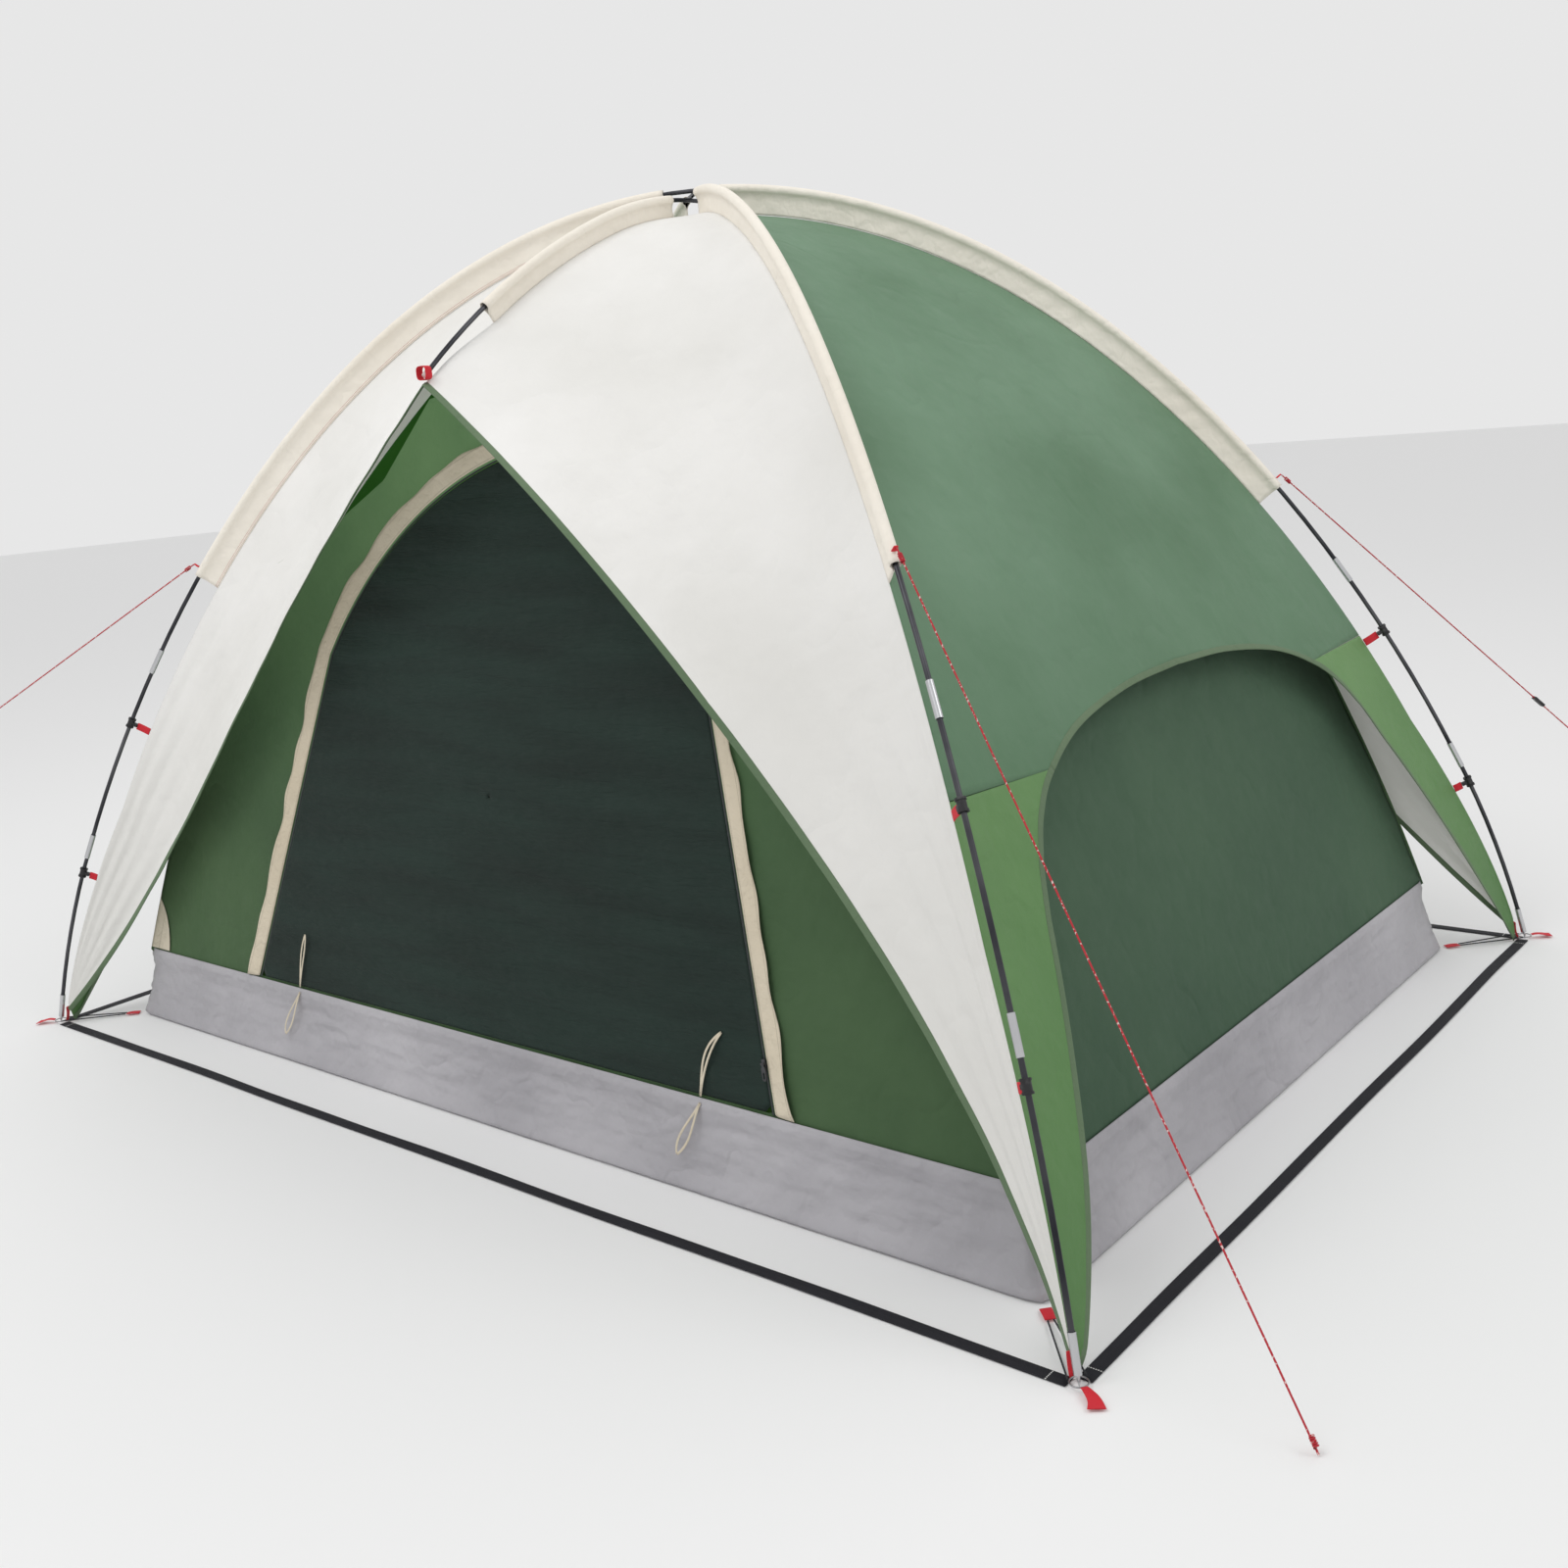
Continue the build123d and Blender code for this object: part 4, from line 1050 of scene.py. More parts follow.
# ------------------------------------------------------------------ the tent's parts
@dataclass
class Poles:
    """The shock-corded poles, their ferrules, clips, rings and caps, all of them the frame's own solids."""

    finishes: dict[str, Finish] = field(default_factory=lambda: {
        "pole_front_left_to_back_right": Finish.POLE, "pole_front_right_to_back_left": Finish.POLE,
        "ridge_pole": Finish.POLE, "shock_cords": Finish.SHOCK, "pole_ferrules": Finish.FERRULE,
        "foot_ferrules": Finish.FERRULE, "foot_pins": Finish.FERRULE, "ridge_end_caps": Finish.CAP,
        "foot_rings": Finish.STEEL, "pole_clips": Finish.CLIP, "guy_line_slider": Finish.CLIP,
        "zip_slider": Finish.LACQUER, "zip_pull": Finish.LACQUER})

    def dress(self, nodes: dict[str, bpy.types.Object]) -> None:
        """Gives each of the frame's solids its finish.

        Args:
            nodes: the frame's objects by node.
        """
        for name, finish in self.finishes.items():
            nodes[name].data.materials.clear()
            nodes[name].data.materials.append(finish.material)
            log.info("%s in %s", name, finish.value.name)


@dataclass
class Sleeves:
    """The cloth channels sewn to the fly that the poles run through."""

    radius: float = 0.0098
    cloth: float = 0.0009
    start: float = 1.262
    crown_gap: float = 0.064
    pucker: float = 0.0022

    def keyhole(self, depth: float) -> Array:
        """A sleeve's open cross-section: up one side of the web, round the pole and back down to the seam.

        Args:
            depth: from the pole's middle to the seam.

        Returns:
            Distances across and in from the pole, one row each.
        """
        turns = np.linspace(0.16 * pi, 1.84 * pi, 22)
        loop = np.stack([self.radius * np.sin(turns), self.radius * np.cos(turns)], -1)
        web = np.linspace(depth, self.radius * 1.6, 9)
        left = np.stack([np.full(9, 0.0006) + 0.001 * smooth(-web, -0.03, -0.012), web], -1)
        return np.vstack([left, loop, left[::-1] * [-1, 1]])

    def sweep(self, place: Array, run: Array, way_in: Array, depth: Array, seed: int) -> Array:
        """The keyhole carried along a pole, with puckers across the web that fade at the seam and at the pole.

        Args:
            place: points of the pole.
            run: the pole's direction at each.
            way_in: the way to the fly at each.
            depth: from the pole to the seam at each.
            seed: picks this sleeve's puckers.

        Returns:
            The grid of points.
        """
        across = unit(np.cross(way_in, run))
        flat = self.keyhole(1.0)
        web = flat[:, 1] > self.radius * 1.5
        share = np.where(web, (flat[:, 1] - self.radius * 1.6) / (1 - self.radius * 1.6), 0)
        web_reach = self.radius * 1.6 + share[None, :] * (depth[:, None] - self.radius * 1.6)
        reach = np.where(web[None, :], web_reach, flat[None, :, 1])
        travelled = lengths(place)
        wave = ripple(travelled, seed, 7, 6.0, 22.0)[:, None] * self.pucker
        swing = wave * np.where(web, np.sin(pi * np.clip(share, 0, 1)), 0)[None, :]
        return (place[:, None] + across[:, None] * (flat[None, :, :1] + swing[..., None])
                + way_in[:, None] * reach[..., None])

    def leg(self, leg: Leg, seed: int) -> Array:
        """A corner pole's sleeve, from its lower end to just short of the crown.

        Args:
            leg: which corner.
            seed: picks its puckers.

        Returns:
            The grid of points.
        """
        end = float(pole_table()[1][-1]) - self.crown_gap
        u = share_at(np.linspace(self.start, end, 150))
        place = leg.place(pole_curve(u), leg.over * POLE_LIFT * u)
        run = unit(np.gradient(place, axis=0))
        way_in = unit(np.cross(run, leg.across))
        way_in = np.where(way_in[:, 2:] > 0, -way_in, way_in)
        depth = seam_depth(u) + (leg.over * POLE_LIFT * u) * 0.6
        return self.sweep(place, run, way_in, depth, seed)

    def ridge(self, y_side: int, seed: int) -> Array:
        """Half of the ridge pole's sleeve, between the crown and the pole's bare end.

        Args:
            y_side: 1 at the back and -1 in front.
            seed: picks its puckers.

        Returns:
            The grid of points.
        """
        line = resample(ridge_line(), 200)
        line = resample(line[(line[:, 0] > 0.07) & (line[:, 0] < 0.646)], 70)
        place = np.stack([np.zeros(70), y_side * line[:, 0], line[:, 1]], -1)
        run = unit(np.gradient(place, axis=0))
        way_in = unit(np.cross(run, [y_side, 0, 0]))
        way_in = np.where(way_in[:, 2:] > 0, -way_in, way_in)
        depth = np.full(70, RIDGE_DEPTH + 0.001)
        return self.sweep(place, run, way_in, depth, seed)

    def build(self) -> None:
        """Builds the six sleeves."""
        for number, leg in enumerate(Leg):
            piece = Maker.cloth(f"{leg.label}_sleeve", self.leg(leg, 30 + number), self.cloth, leg.across)
            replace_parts(Finish.SLEEVE.dress(piece), f"sleeve_{leg.label}")
            sheet(piece)
        for end, y_side in ENDS.items():
            piece = Maker.cloth(f"{end}_ridge_sleeve", self.ridge(y_side, 40 + y_side), self.cloth,
                                np.array([1.0, 0, 0]))
            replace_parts(Finish.SLEEVE.dress(piece), f"sleeve_ridge_{end}")
            sheet(piece)
        log.info("built the pole sleeves")


@dataclass
class Fly:
    """The outer cloth: pale ends, green sides with leaf green leg panels, and their bound edges."""

    cloth: float = 0.0011
    rows: int = 150
    columns: int = 64
    yoke_height: float = 0.765
    yoke_share: float = 0.62
    arch_points: tuple[tuple[float, float], ...] = (
        (1.052, 0), (1.017, 0.04), (0.915, 0.2), (0.813, 0.4), (0.713, 0.6), (0.681, 0.65),
        (0.636, 0.7), (0.56, 0.75), (0.416, 0.8), (0.21, 0.83), (0, 0.838))
    foot_x: float = 1.477
    hem_width: float = 0.013
    hem_cloth: float = 0.0034

    def end(self, x_side: int, y_side: int, seed: int) -> Array:
        """One half of an end: straight lines from the seam to the opening's edge, lifted by the ridge pole.

        Args:
            x_side: 1 on the right and -1 on the left.
            y_side: 1 at the back and -1 in front.
            seed: picks this panel's folds.

        Returns:
            The grid of points, from the ridge to the foot and from the seam to the edge.
        """
        x = self.foot_x * np.sin(np.linspace(0.0006, 1, self.rows) * pi / 2) ** 1.15
        share = np.linspace(0, 1, self.columns)
        seam = seam_curve(np.linspace(0.002, 1, 900))
        seam_x = seam[::-1, 0] * HALF_X / HALF_DIAGONAL
        seam_y = np.interp(x, seam_x, seam[::-1, 0] * HALF_Y / HALF_DIAGONAL)
        seam_z = np.interp(x, seam_x, seam[::-1, 1])
        hem = front_hem(x)
        ridge = ridge_seam()
        lift_at = (ridge[:, 0] - ridge[0, 0]) / (PEAK_Y - ridge[0, 0])
        lift = ridge[:, 1] - ridge[0, 1] - lift_at * (PEAK_Z - ridge[0, 1])
        fade = (1 - np.clip(x / 0.72, 0, 1)) ** 1.4
        y = seam_y[:, None] + share * (hem[:, :1] - seam_y[:, None])
        z = seam_z[:, None] + share * (hem[:, 1:] - seam_z[:, None])
        z = z + np.interp(share, lift_at, lift) * fade[:, None]
        grid = np.stack([x_side * x[:, None] * np.ones_like(y), y_side * y, z], -1)
        along = smooth(x, 0.0, 0.12) * smooth(self.foot_x - x, 0.0, 0.12)
        edge = smooth(share, 0, 0.14)[None, :] * along[:, None]
        folds = crumple(x[:, None] * 0.6, share[None, :] * 0.7 + 0.25 * x[:, None], seed) * 0.0026
        pull = np.sin(26 * (share[None, :] - 0.55) + 7 * x[:, None]) * bump(x, 1.2, 0.35)[:, None] * 0.0024
        hollow = -0.006 * np.sin(pi * share)[None, :] * np.sin(pi * np.clip(x / self.foot_x, 0, 1))[:, None]
        return pushed(grid, (folds + pull) * edge + hollow, np.array([0, y_side * 0.6, 0.8]))

    def arch(self, low: float, high: float, count: int) -> Array:
        """The side opening's edge between two shares of its half, as distances from the middle and heights.

        Args:
            low: the lower share.
            high: the upper share.
            count: how many points to give.

        Returns:
            The points, from the foot up.
        """
        half = resample(curve_through(self.arch_points, 400), 600)
        return resample(half[int(low * 599):int(high * 599) + 1], count)

    def seam(self, low: float, high: float, count: int) -> Array:
        """The corner seam between two heights, as distances from the middle, front to back, and heights.

        Args:
            low: the lower height.
            high: the upper height.
            count: how many points to give.

        Returns:
            The points, from the foot up.
        """
        curve = seam_curve(np.linspace(0.006, 1, 2000))
        half = np.stack([curve[:, 0] * HALF_Y / HALF_DIAGONAL, curve[:, 1]], -1)
        half = half[(half[:, 1] >= low) & (half[:, 1] <= high)]
        return resample(half, count)

    def side_x(self, z: Array) -> Array:
        """How far out the side cloth is at a height: as far as the corner seam is there."""
        curve = seam_curve(np.linspace(0.002, 1, 900))
        return np.interp(z, curve[:, 1], curve[:, 0] * HALF_X / HALF_DIAGONAL)

    def side(self, inner: Array, outer: Array, x_side: int, seed: int) -> Array:
        """A side cloth between the opening's edge and the seam, both as distances from the middle and heights.

        Args:
            inner: the opening's edge.
            outer: the seam.
            x_side: 1 on the right and -1 on the left.
            seed: picks its folds.

        Returns:
            The grid of points, along the edge and from it to the seam.
        """
        share = np.linspace(0, 1, self.columns)[None, :, None]
        flat = inner[:, None] + share * (outer[:, None] - inner[:, None])
        grid = np.stack([x_side * self.side_x(flat[..., 1]), flat[..., 0], flat[..., 1]], -1)
        along = np.linspace(0, 1, len(inner))[:, None]
        edge = smooth(share[..., 0], 0.0, 0.06) * smooth(1 - share[..., 0], 0, 0.12)
        edge = edge * smooth(along, 0, 0.04) * smooth(1 - along, 0, 0.04)
        folds = crumple(flat[..., 0] * 0.7, flat[..., 1] * 0.8, seed) * 0.0016
        radial = np.sin(flat[..., 0] * 16 + 3 * np.sin(flat[..., 1] * 5)) * 0.0028
        radial = radial * bump(flat[..., 1], 0.86, 0.16)
        return pushed(grid, (folds + radial) * edge, np.array([x_side, 0, 0.3]))

    def binding(self, edge: Array, inward: Array) -> tuple[Array, Array, Array]:
        """The tape folded over an edge: a band set just inside it.

        Args:
            edge: the edge's points.
            inward: the way in from each.

        Returns:
            The band's path, half width vectors and half thickness vectors.
        """
        inward = unit(inward)
        path = edge + inward * (self.hem_width * 0.38)
        return Maker.band(path, inward, self.hem_width, self.hem_cloth)

    def build(self) -> None:
        """Builds the ten panels and the four bound edges."""
        for number, (end, y_side) in enumerate(ENDS.items()):
            bands = []
            for side, x_side in SIDES.items():
                grid = self.end(x_side, y_side, 50 + number * 3 + x_side)
                piece = Maker.cloth(f"{end}_{side}_fly", grid, self.cloth, np.array([0, y_side * 0.6, 0.8]))
                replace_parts(Finish.FLY.dress(piece), f"fly_{end}_{side}")
                sheet(piece)
                bands.append(self.binding(grid[:, -1], grid[:, -4] - grid[:, -1]))
            tape = Maker.strips(f"{end}_hem_tape", bands)
            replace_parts(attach(Finish.HEM.dress(tape), "tent"), f"hem_binding_{end}")
        for side, x_side in SIDES.items():
            near, far = self.arch(self.yoke_share, 1.0, 90), self.seam(self.yoke_height, 2.0, 90)
            flip = np.array([-1.0, 1.0])
            inner = np.vstack([near * flip, near[-2::-1]])
            outer = np.vstack([far * flip, far[-2::-1]])
            grid = self.side(inner, outer, x_side, 60 + x_side)
            piece = Maker.cloth(f"{side}_side_fly", grid, self.cloth, np.array([x_side, 0, 0.3]))
            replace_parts(Finish.SIDE.dress(piece), f"fly_side_{side}")
            sheet(piece)
            bands = [self.binding(grid[:, 0], grid[:, 3] - grid[:, 0])]
            for end, y_side in ENDS.items():
                inner = self.arch(0.0, self.yoke_share, 110) * [y_side, 1]
                outer = self.seam(0.0, self.yoke_height, 110) * [y_side, 1]
                grid = self.side(inner, outer, x_side, 64 + x_side + 3 * y_side)
                leg = Maker.cloth(f"{end}_{side}_leg_cloth", grid, self.cloth, np.array([x_side, 0, 0.3]))
                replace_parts(Finish.LEG_CLOTH.dress(leg), f"leg_panel_{end}_{side}")
                sheet(leg)
                bands.append(self.binding(grid[:, 0], grid[:, 3] - grid[:, 0]))
            tape = Maker.strips(f"{side}_hem_tape", bands)
            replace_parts(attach(Finish.HEM.dress(tape), "tent"), f"hem_binding_{side}")
        log.info("built the fly")


@dataclass
class Webbings:
    """The red tabs and loops, the corner webbing and the four long straps."""

    strap_width: float = 0.025
    strap_cloth: float = 0.0016
    tab_width: float = 0.018
    clip_places: tuple[float, ...] = (0.42, 0.843)

    def clip_tab(self, leg: Leg, length: float) -> tuple[Array, Array, Array]:
        """A tab from a clip in to the fly's seam, a little slack in its middle.

        Args:
            leg: which corner.
            length: how far up the pole the clip is.

        Returns:
            The band's path, half width vectors and half thickness vectors.
        """
        u = float(share_at(length))
        flat = np.stack([pole_inward(u, d) for d in np.linspace(0.0174, float(seam_depth(u)) - 0.0008, 9)])
        path = leg.place(flat, leg.over * POLE_LIFT * u)
        run = unit(leg.place(pole_curve(u + 0.002)) - leg.place(pole_curve(u - 0.002)))
        path = path + leg.across * (0.0012 * np.sin(np.linspace(0, pi, 9)))[:, None]
        return Maker.band(path, run, self.tab_width, 0.0016)

    def ridge_loop(self, y_side: int) -> tuple[Array, Array, Array]:
        """The loop round the ridge pole's capped end.

        Args:
            y_side: 1 at the back and -1 in front.

        Returns:
            The band's path, half width vectors and half thickness vectors.
        """
        turns = np.linspace(-0.5 * pi, 1.5 * pi, 49)
        across = np.sign(np.cos(turns)) * np.abs(np.cos(turns)) ** 0.6 * 0.0142
        up = np.sign(np.sin(turns)) * np.abs(np.sin(turns)) ** 0.6 * 0.0129
        path = np.stack([across, np.full(49, y_side * 0.812), 1.5076 + up], -1)
        return Maker.band(path, np.array([0, 1.0, 0]), 0.016, 0.0015)

    def stub(self, leg: Leg) -> tuple[Array, Array, Array]:
        """The short webbing between a ring and the fly's foot.

        Args:
            leg: which corner.

        Returns:
            The band's path, half width vectors and half thickness vectors.
        """
        foot = leg.place(pole_curve(0.0))
        path = straight(foot - leg.outward * 0.0165 + UP * 0.004, foot - leg.outward * 0.024 + UP * 0.042, 11)
        path = path - leg.outward * (0.002 * np.sin(np.linspace(0, pi, 11)))[:, None]
        return Maker.band(path, leg.across, 0.0142, 0.0017)

    def pull_tab(self, leg: Leg, seed: int) -> tuple[Array, Array, Array]:
        """A flared, curled tab outside a ring.

        Args:
            leg: which corner.
            seed: picks its curl.

        Returns:
            The band's path, half width vectors and half thickness vectors.
        """
        foot = leg.place(pole_curve(0.0))
        t = np.linspace(0, 1, 25)
        reach, rise = 0.016 + 0.046 * t, 0.0085 - 0.0045 * t + 0.006 * np.sin(pi * t) * (1 - t)
        path = foot + leg.outward * reach[:, None] + UP * rise[:, None]
        path = path + leg.across * (0.004 * ripple(t, seed, 3, 0.5, 1.2) * t)[:, None]
        return Maker.band(path, leg.across, 0.011 + 0.016 * t**1.3, 0.0015)

    def corner_tab(self, leg: Leg) -> tuple[Array, Array, Array]:
        """The tab at a corner of the floor that the elastics hook into.

        Args:
            leg: which corner.

        Returns:
            The band's path, half width vectors and half thickness vectors.
        """
        corner = np.array([leg.value[0] * FLOOR_X, leg.value[1] * FLOOR_Y, 0.003])
        foot = leg.place(pole_curve(0.0))
        way = unit(foot - corner + UP * 0.008)
        t = np.linspace(0, 1, 15)
        path = corner + way * (0.0015 + 0.0325 * t)[:, None] + UP * (0.0012 * np.sin(pi * t))[:, None]
        return Maker.band(path, leg.across, 0.020 - 0.002 * t, 0.0015)

    def guy_loop(self, leg: Leg) -> tuple[Array, Array, Array]:
        """The loop that stands out from a sleeve's lower end.

        Args:
            leg: which corner.

        Returns:
            The band's path, half width vectors and half thickness vectors.
        """
        u = float(share_at(GUY_LOOP_AT))
        t = np.linspace(0, 1, 9)
        flat = np.stack([pole_inward(u, -(0.0118 + 0.0122 * s)) for s in t])
        return Maker.band(leg.place(flat, leg.over * POLE_LIFT * 0.3), leg.across, 0.0118 - 0.004 * t, 0.0029)

    def strap(self, along_x: bool, side: int, seed: int) -> tuple[Array, Array, Array]:
        """A long strap on the ground between two feet, a little wavy as it lies.

        Args:
            along_x: whether it runs from left to right.
            side: 1 or -1, the side of the tent.
            seed: picks its waves.

        Returns:
            The band's path, half width vectors and half thickness vectors.
        """
        half = (HALF_X if along_x else HALF_Y) - 0.0158
        s = np.linspace(-half, half, 220)
        free = smooth(half - np.abs(s), 0, 0.3)
        sway = ripple(s, seed, 5, 0.3, 1.4) * 0.0035 * free
        height = 0.0009 + (ripple(s, seed + 1, 6, 0.8, 3.0) + 1) * 0.0011 * free
        fixed = np.full_like(s, side * (HALF_Y if along_x else HALF_X)) + sway
        path = np.stack([s, fixed, height] if along_x else [fixed, s, height], -1)
        lean = ripple(s, seed + 2, 5, 0.6, 2.0)[:, None] * 0.06 * free[:, None]
        across = np.array([0, 1.0, 0]) if along_x else np.array([1.0, 0, 0])
        return Maker.band(path, across + UP * lean, self.strap_width, self.strap_cloth)

    def build(self) -> None:
        """Builds every tab, loop and strap."""
        groups = {
            "clip_tabs": ("red_clip_tabs", [self.clip_tab(leg, at) for leg in Leg for at in self.clip_places]),
            "ridge_end_loops": ("red_ridge_loops", [self.ridge_loop(s) for s in (-1, 1)]),
            "foot_webbing_stubs": ("red_foot_webbing", [self.stub(leg) for leg in Leg]),
            "foot_pull_tabs": ("red_pull_tabs", [self.pull_tab(leg, 70 + i) for i, leg in enumerate(Leg)]),
            "floor_corner_tabs": ("red_corner_tabs", [self.corner_tab(leg) for leg in Leg]),
            "guy_line_loops": ("red_guy_loops", [self.guy_loop(leg) for leg in Leg]),
        }
        for node, (name, bands) in groups.items():
            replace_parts(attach(Finish.RED.dress(Maker.strips(name, bands)), "tent"), node)
        straps = {"strap_front": (True, -1), "strap_back": (True, 1), "strap_left": (False, -1),
                  "strap_right": (False, 1)}
        for number, (node, (along_x, side)) in enumerate(straps.items()):
            piece = Maker.strips(f"ground_{node}", [self.strap(along_x, side, 80 + 3 * number)])
            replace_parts(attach(Finish.STRAP.dress(piece), "tent"), node)
        log.info("built the webbing")


def on_wall(x: Array, v: Array, out: Array | float, y_side: int = -1) -> Array:
    """Points of an end wall of the inner tent, from distances across and up its slope and out from its cloth.

    Args:
        x: distances from the middle.
        v: distances up the slope.
        out: distances out from the cloth.
        y_side: 1 at the back and -1 in front.

    Returns:
        The points, with x, y and z in the last axis.
    """
    y = FLOOR_Y - 0.002 - v * WALL_LEAN / SLANT + out / SLANT
    z = v / SLANT + out * WALL_LEAN / SLANT
    return np.stack([x * np.ones_like(z), y_side * y, z], -1)


@dataclass
class InnerTent:
    """The inner tent: a bathtub floor, leaning walls, a roof, and the door with its zip and flap."""

    cloth: float = 0.001
    door_gap: float = 0.006
    flap_start: float = 0.0094
    flap_width: float = 0.04
    roof_fold: float = 0.46
    roof_fold_y: float = 0.3
    tub_squareness: int = 110
    centre: tuple[float, float] = (0.0, 0.72)
    top: tuple = ((0.62, 1.2), (0.4, 1.31), (0.25, 1.47), (0.0, WALL_PEAK))

    def outline(self) -> Array:
        """An end wall's outline on its slope, from its lower right corner round to its lower left one.

        Returns:
            Distances across and up the slope, one row each.
        """
        z = np.linspace(TUB_HEIGHT + 0.001, EAVES, 30)
        right = np.stack([corner_x(z), z], -1)
        half = np.vstack([right, np.array(self.top)])
        line = np.vstack([half, (half * [-1, 1])[-2::-1]])
        return dense(line * [1, SLANT])

    def door_line(self, count: int = 420) -> Array:
        """The door's edge on the wall's slope, from its lower right corner over the top to its lower left one.

        Args:
            count: how many points to give.

        Returns:
            Distances across and up the slope, one row each.
        """
        right = dense(np.array([(0.8, SILL * SLANT), (0.585, 0.9 * SLANT)]), closed=False)
        over = arc_through((0.585, 0.9 * SLANT), (0.485, 1.18 * SLANT), (0.13, 1.352 * SLANT), 90)
        down = arc_through((0.13, 1.352 * SLANT), (-0.25, 1.235 * SLANT), (-0.565, 0.93 * SLANT), 90)
        left = dense(np.array([(-0.565, 0.93 * SLANT), (-0.8, SILL * SLANT)]), closed=False)
        return resample(np.vstack([right, over[1:], down[1:], left[1:]]), count)

    def fan(self, inner: Array | None, outer: Array, rings: int, seed: int, y_side: int,
            relief: float) -> Array:
        """Cloth between two outlines, or from the middle out: rays from a centre, with folds pushed out of it.

        Args:
            inner: the inner outline, or None for whole cloth.
            outer: the outer outline.
            rings: how many steps there are from inner to outer.
            seed: picks the folds.
            y_side: which end wall it is on.
            relief: the folds' size.

        Returns:
            The grid of points, its first axis going round.
        """
        centre = np.array([self.centre[0], self.centre[1] * SLANT])
        corners = np.arctan2(*(outer - centre).T[::-1])
        turns = np.union1d(np.linspace(-pi, pi, 361)[:-1], np.round(corners[::6], 6))
        turns = turns[np.r_[True, np.diff(turns) > 1e-4]]
        far = rays(outer, centre, turns)
        near = rays(inner, centre, turns) if inner is not None else centre + (far - centre) * 0.002
        share = np.linspace(0, 1, rings)[None, :, None]
        flat = near[:, None] + share * (far - near)[:, None]
        edge = smooth(share[..., 0], 0, 0.12) * smooth(1 - share[..., 0], 0, 0.1)
        if inner is None:
            edge = smooth(1 - share[..., 0], 0, 0.08) * np.ones(len(turns))[:, None]
        folds = crumple(flat[..., 0] * 0.6, flat[..., 1] * 0.8, seed) * relief * edge
        return on_wall(flat[..., 0], flat[..., 1], 0.001 + folds, y_side)

    def door(self) -> Array:
        """The door's cloth: slack ripples across it that die out at its edge.

        Returns:
            The grid of points, its first axis going round.
        """
        line = self.door_line()
        closed = dense(np.vstack([line, [[0, SILL * SLANT + 0.003]]]))
        closed[:, 1] = np.maximum(closed[:, 1], SILL * SLANT + 0.003)
        centre = np.array([0, 0.66 * SLANT])
        turns = np.linspace(-pi, pi, 361)[:-1]
        far = rays(closed, centre, turns)
        share = np.r_[0.003, np.linspace(0.02, 1, 90)][None, :, None]
        flat = centre + share * (far - centre)[:, None]
        x, v = flat[..., 0], flat[..., 1]
        edge = smooth(1 - share[..., 0], 0, 0.09) * smooth(v, SILL, SILL + 0.07)
        sag = np.sin(2 * pi * (v * 13 + 0.35 * np.sin(x * 4.1) + 0.5 * x * x)) * 0.0026
        drift = ripple(x * 0.7, 7, 5, 0.5, 2.2) * ripple(v * 0.9 + 0.2 * x, 8, 6, 1.0, 4.0) * 0.006
        return on_wall(x, v, 0.001 + (sag + drift) * edge)

    def band_on_wall(self, low: float, high: float, out: float, wave: float, seed: int,
                     steps: int = 9) -> Array:
        """A strip beside the door's edge, between two distances out from it.

        Args:
            low: the nearer distance.
            high: the further one.
            out: how far it stands off the wall.
            wave: the size of its waves.
            seed: picks its waves.
            steps: points across it.

        Returns:
            The grid of points, along it and across it.
        """
        line = self.door_line(520)
        tail = 0.02 * unit(np.stack([line[0] - line[1], line[-1] - line[-2]]))
        line = np.vstack([line[0] + tail[0], line, line[-1] + tail[1]])
        travelled = lengths(line)
        share = np.linspace(0, 1, steps)
        wobble = ripple(travelled, seed + 20, 9, 3.0, 11.0) * wave * 1.1
        flat = np.stack([grown(line, low + (high - low + wobble) * s) for s in share], 1)
        flat[..., 1] = np.maximum(flat[..., 1], SILL * SLANT)
        lift = ripple(travelled, seed, 8, 2.0, 9.0)[:, None] * wave * share ** 1.5 + wave * share
        return on_wall(flat[..., 0], flat[..., 1], out + np.abs(lift))

    def tub(self) -> Array:
        """The floor and its raised edge: rings of the floor's outline that grow, turn up and lean in.

        Returns:
            The grid of points, round it and out from the middle.
        """
        count = 480
        t = np.linspace(0, 4, count, endpoint=False)
        power = self.tub_squareness
        raw = np.stack([np.cos(t * pi / 2 + 0.001), np.sin(t * pi / 2 + 0.001)], -1)
        boxed = raw / (np.sum(np.abs(raw) ** power, -1, keepdims=True) ** (1 / power))
        share = np.r_[0.0, np.linspace(0.02, 1, 30)]
        floor = boxed[:, None] * share[None, :, None] * [FLOOR_X - 0.004, FLOOR_Y - 0.004]
        heights = np.r_[np.full(30, 0.0012), 0.003]
        wall_z = np.r_[np.linspace(0.008, TUB_HEIGHT - 0.012, 24),
                       np.linspace(TUB_HEIGHT - 0.01, SILL - 0.0015, 5)]
        over = 0.0034 * smooth(wall_z, TUB_HEIGHT - 0.016, TUB_HEIGHT - 0.004) - 0.001
        wall = boxed[:, None] * np.stack([corner_x(wall_z) + over, wall_y(wall_z) + over], -1)[None]
        flat = np.concatenate([floor, wall], 1)
        z = np.concatenate([heights, wall_z])[None, :] * np.ones((count, 1))
        grid = np.concatenate([flat, z[..., None]], -1)
        around = lengths(np.vstack([grid[:, 40], grid[:1, 40]]))[:-1, None]
        up = smooth(z, 0.004, 0.05) * smooth(TUB_HEIGHT - 0.012 - z, 0, 0.03)
        crease = (crumple(around * 1.4, z * 5.0, 91, 22, 2.0, 7.0) * 0.0045
                  + ripple(around[:, 0] * 3.0, 92, 10, 1.0, 7.0)[:, None] * 0.0035)
        x_part, y_part = boxed[:, None, :1], boxed[:, None, 1:]
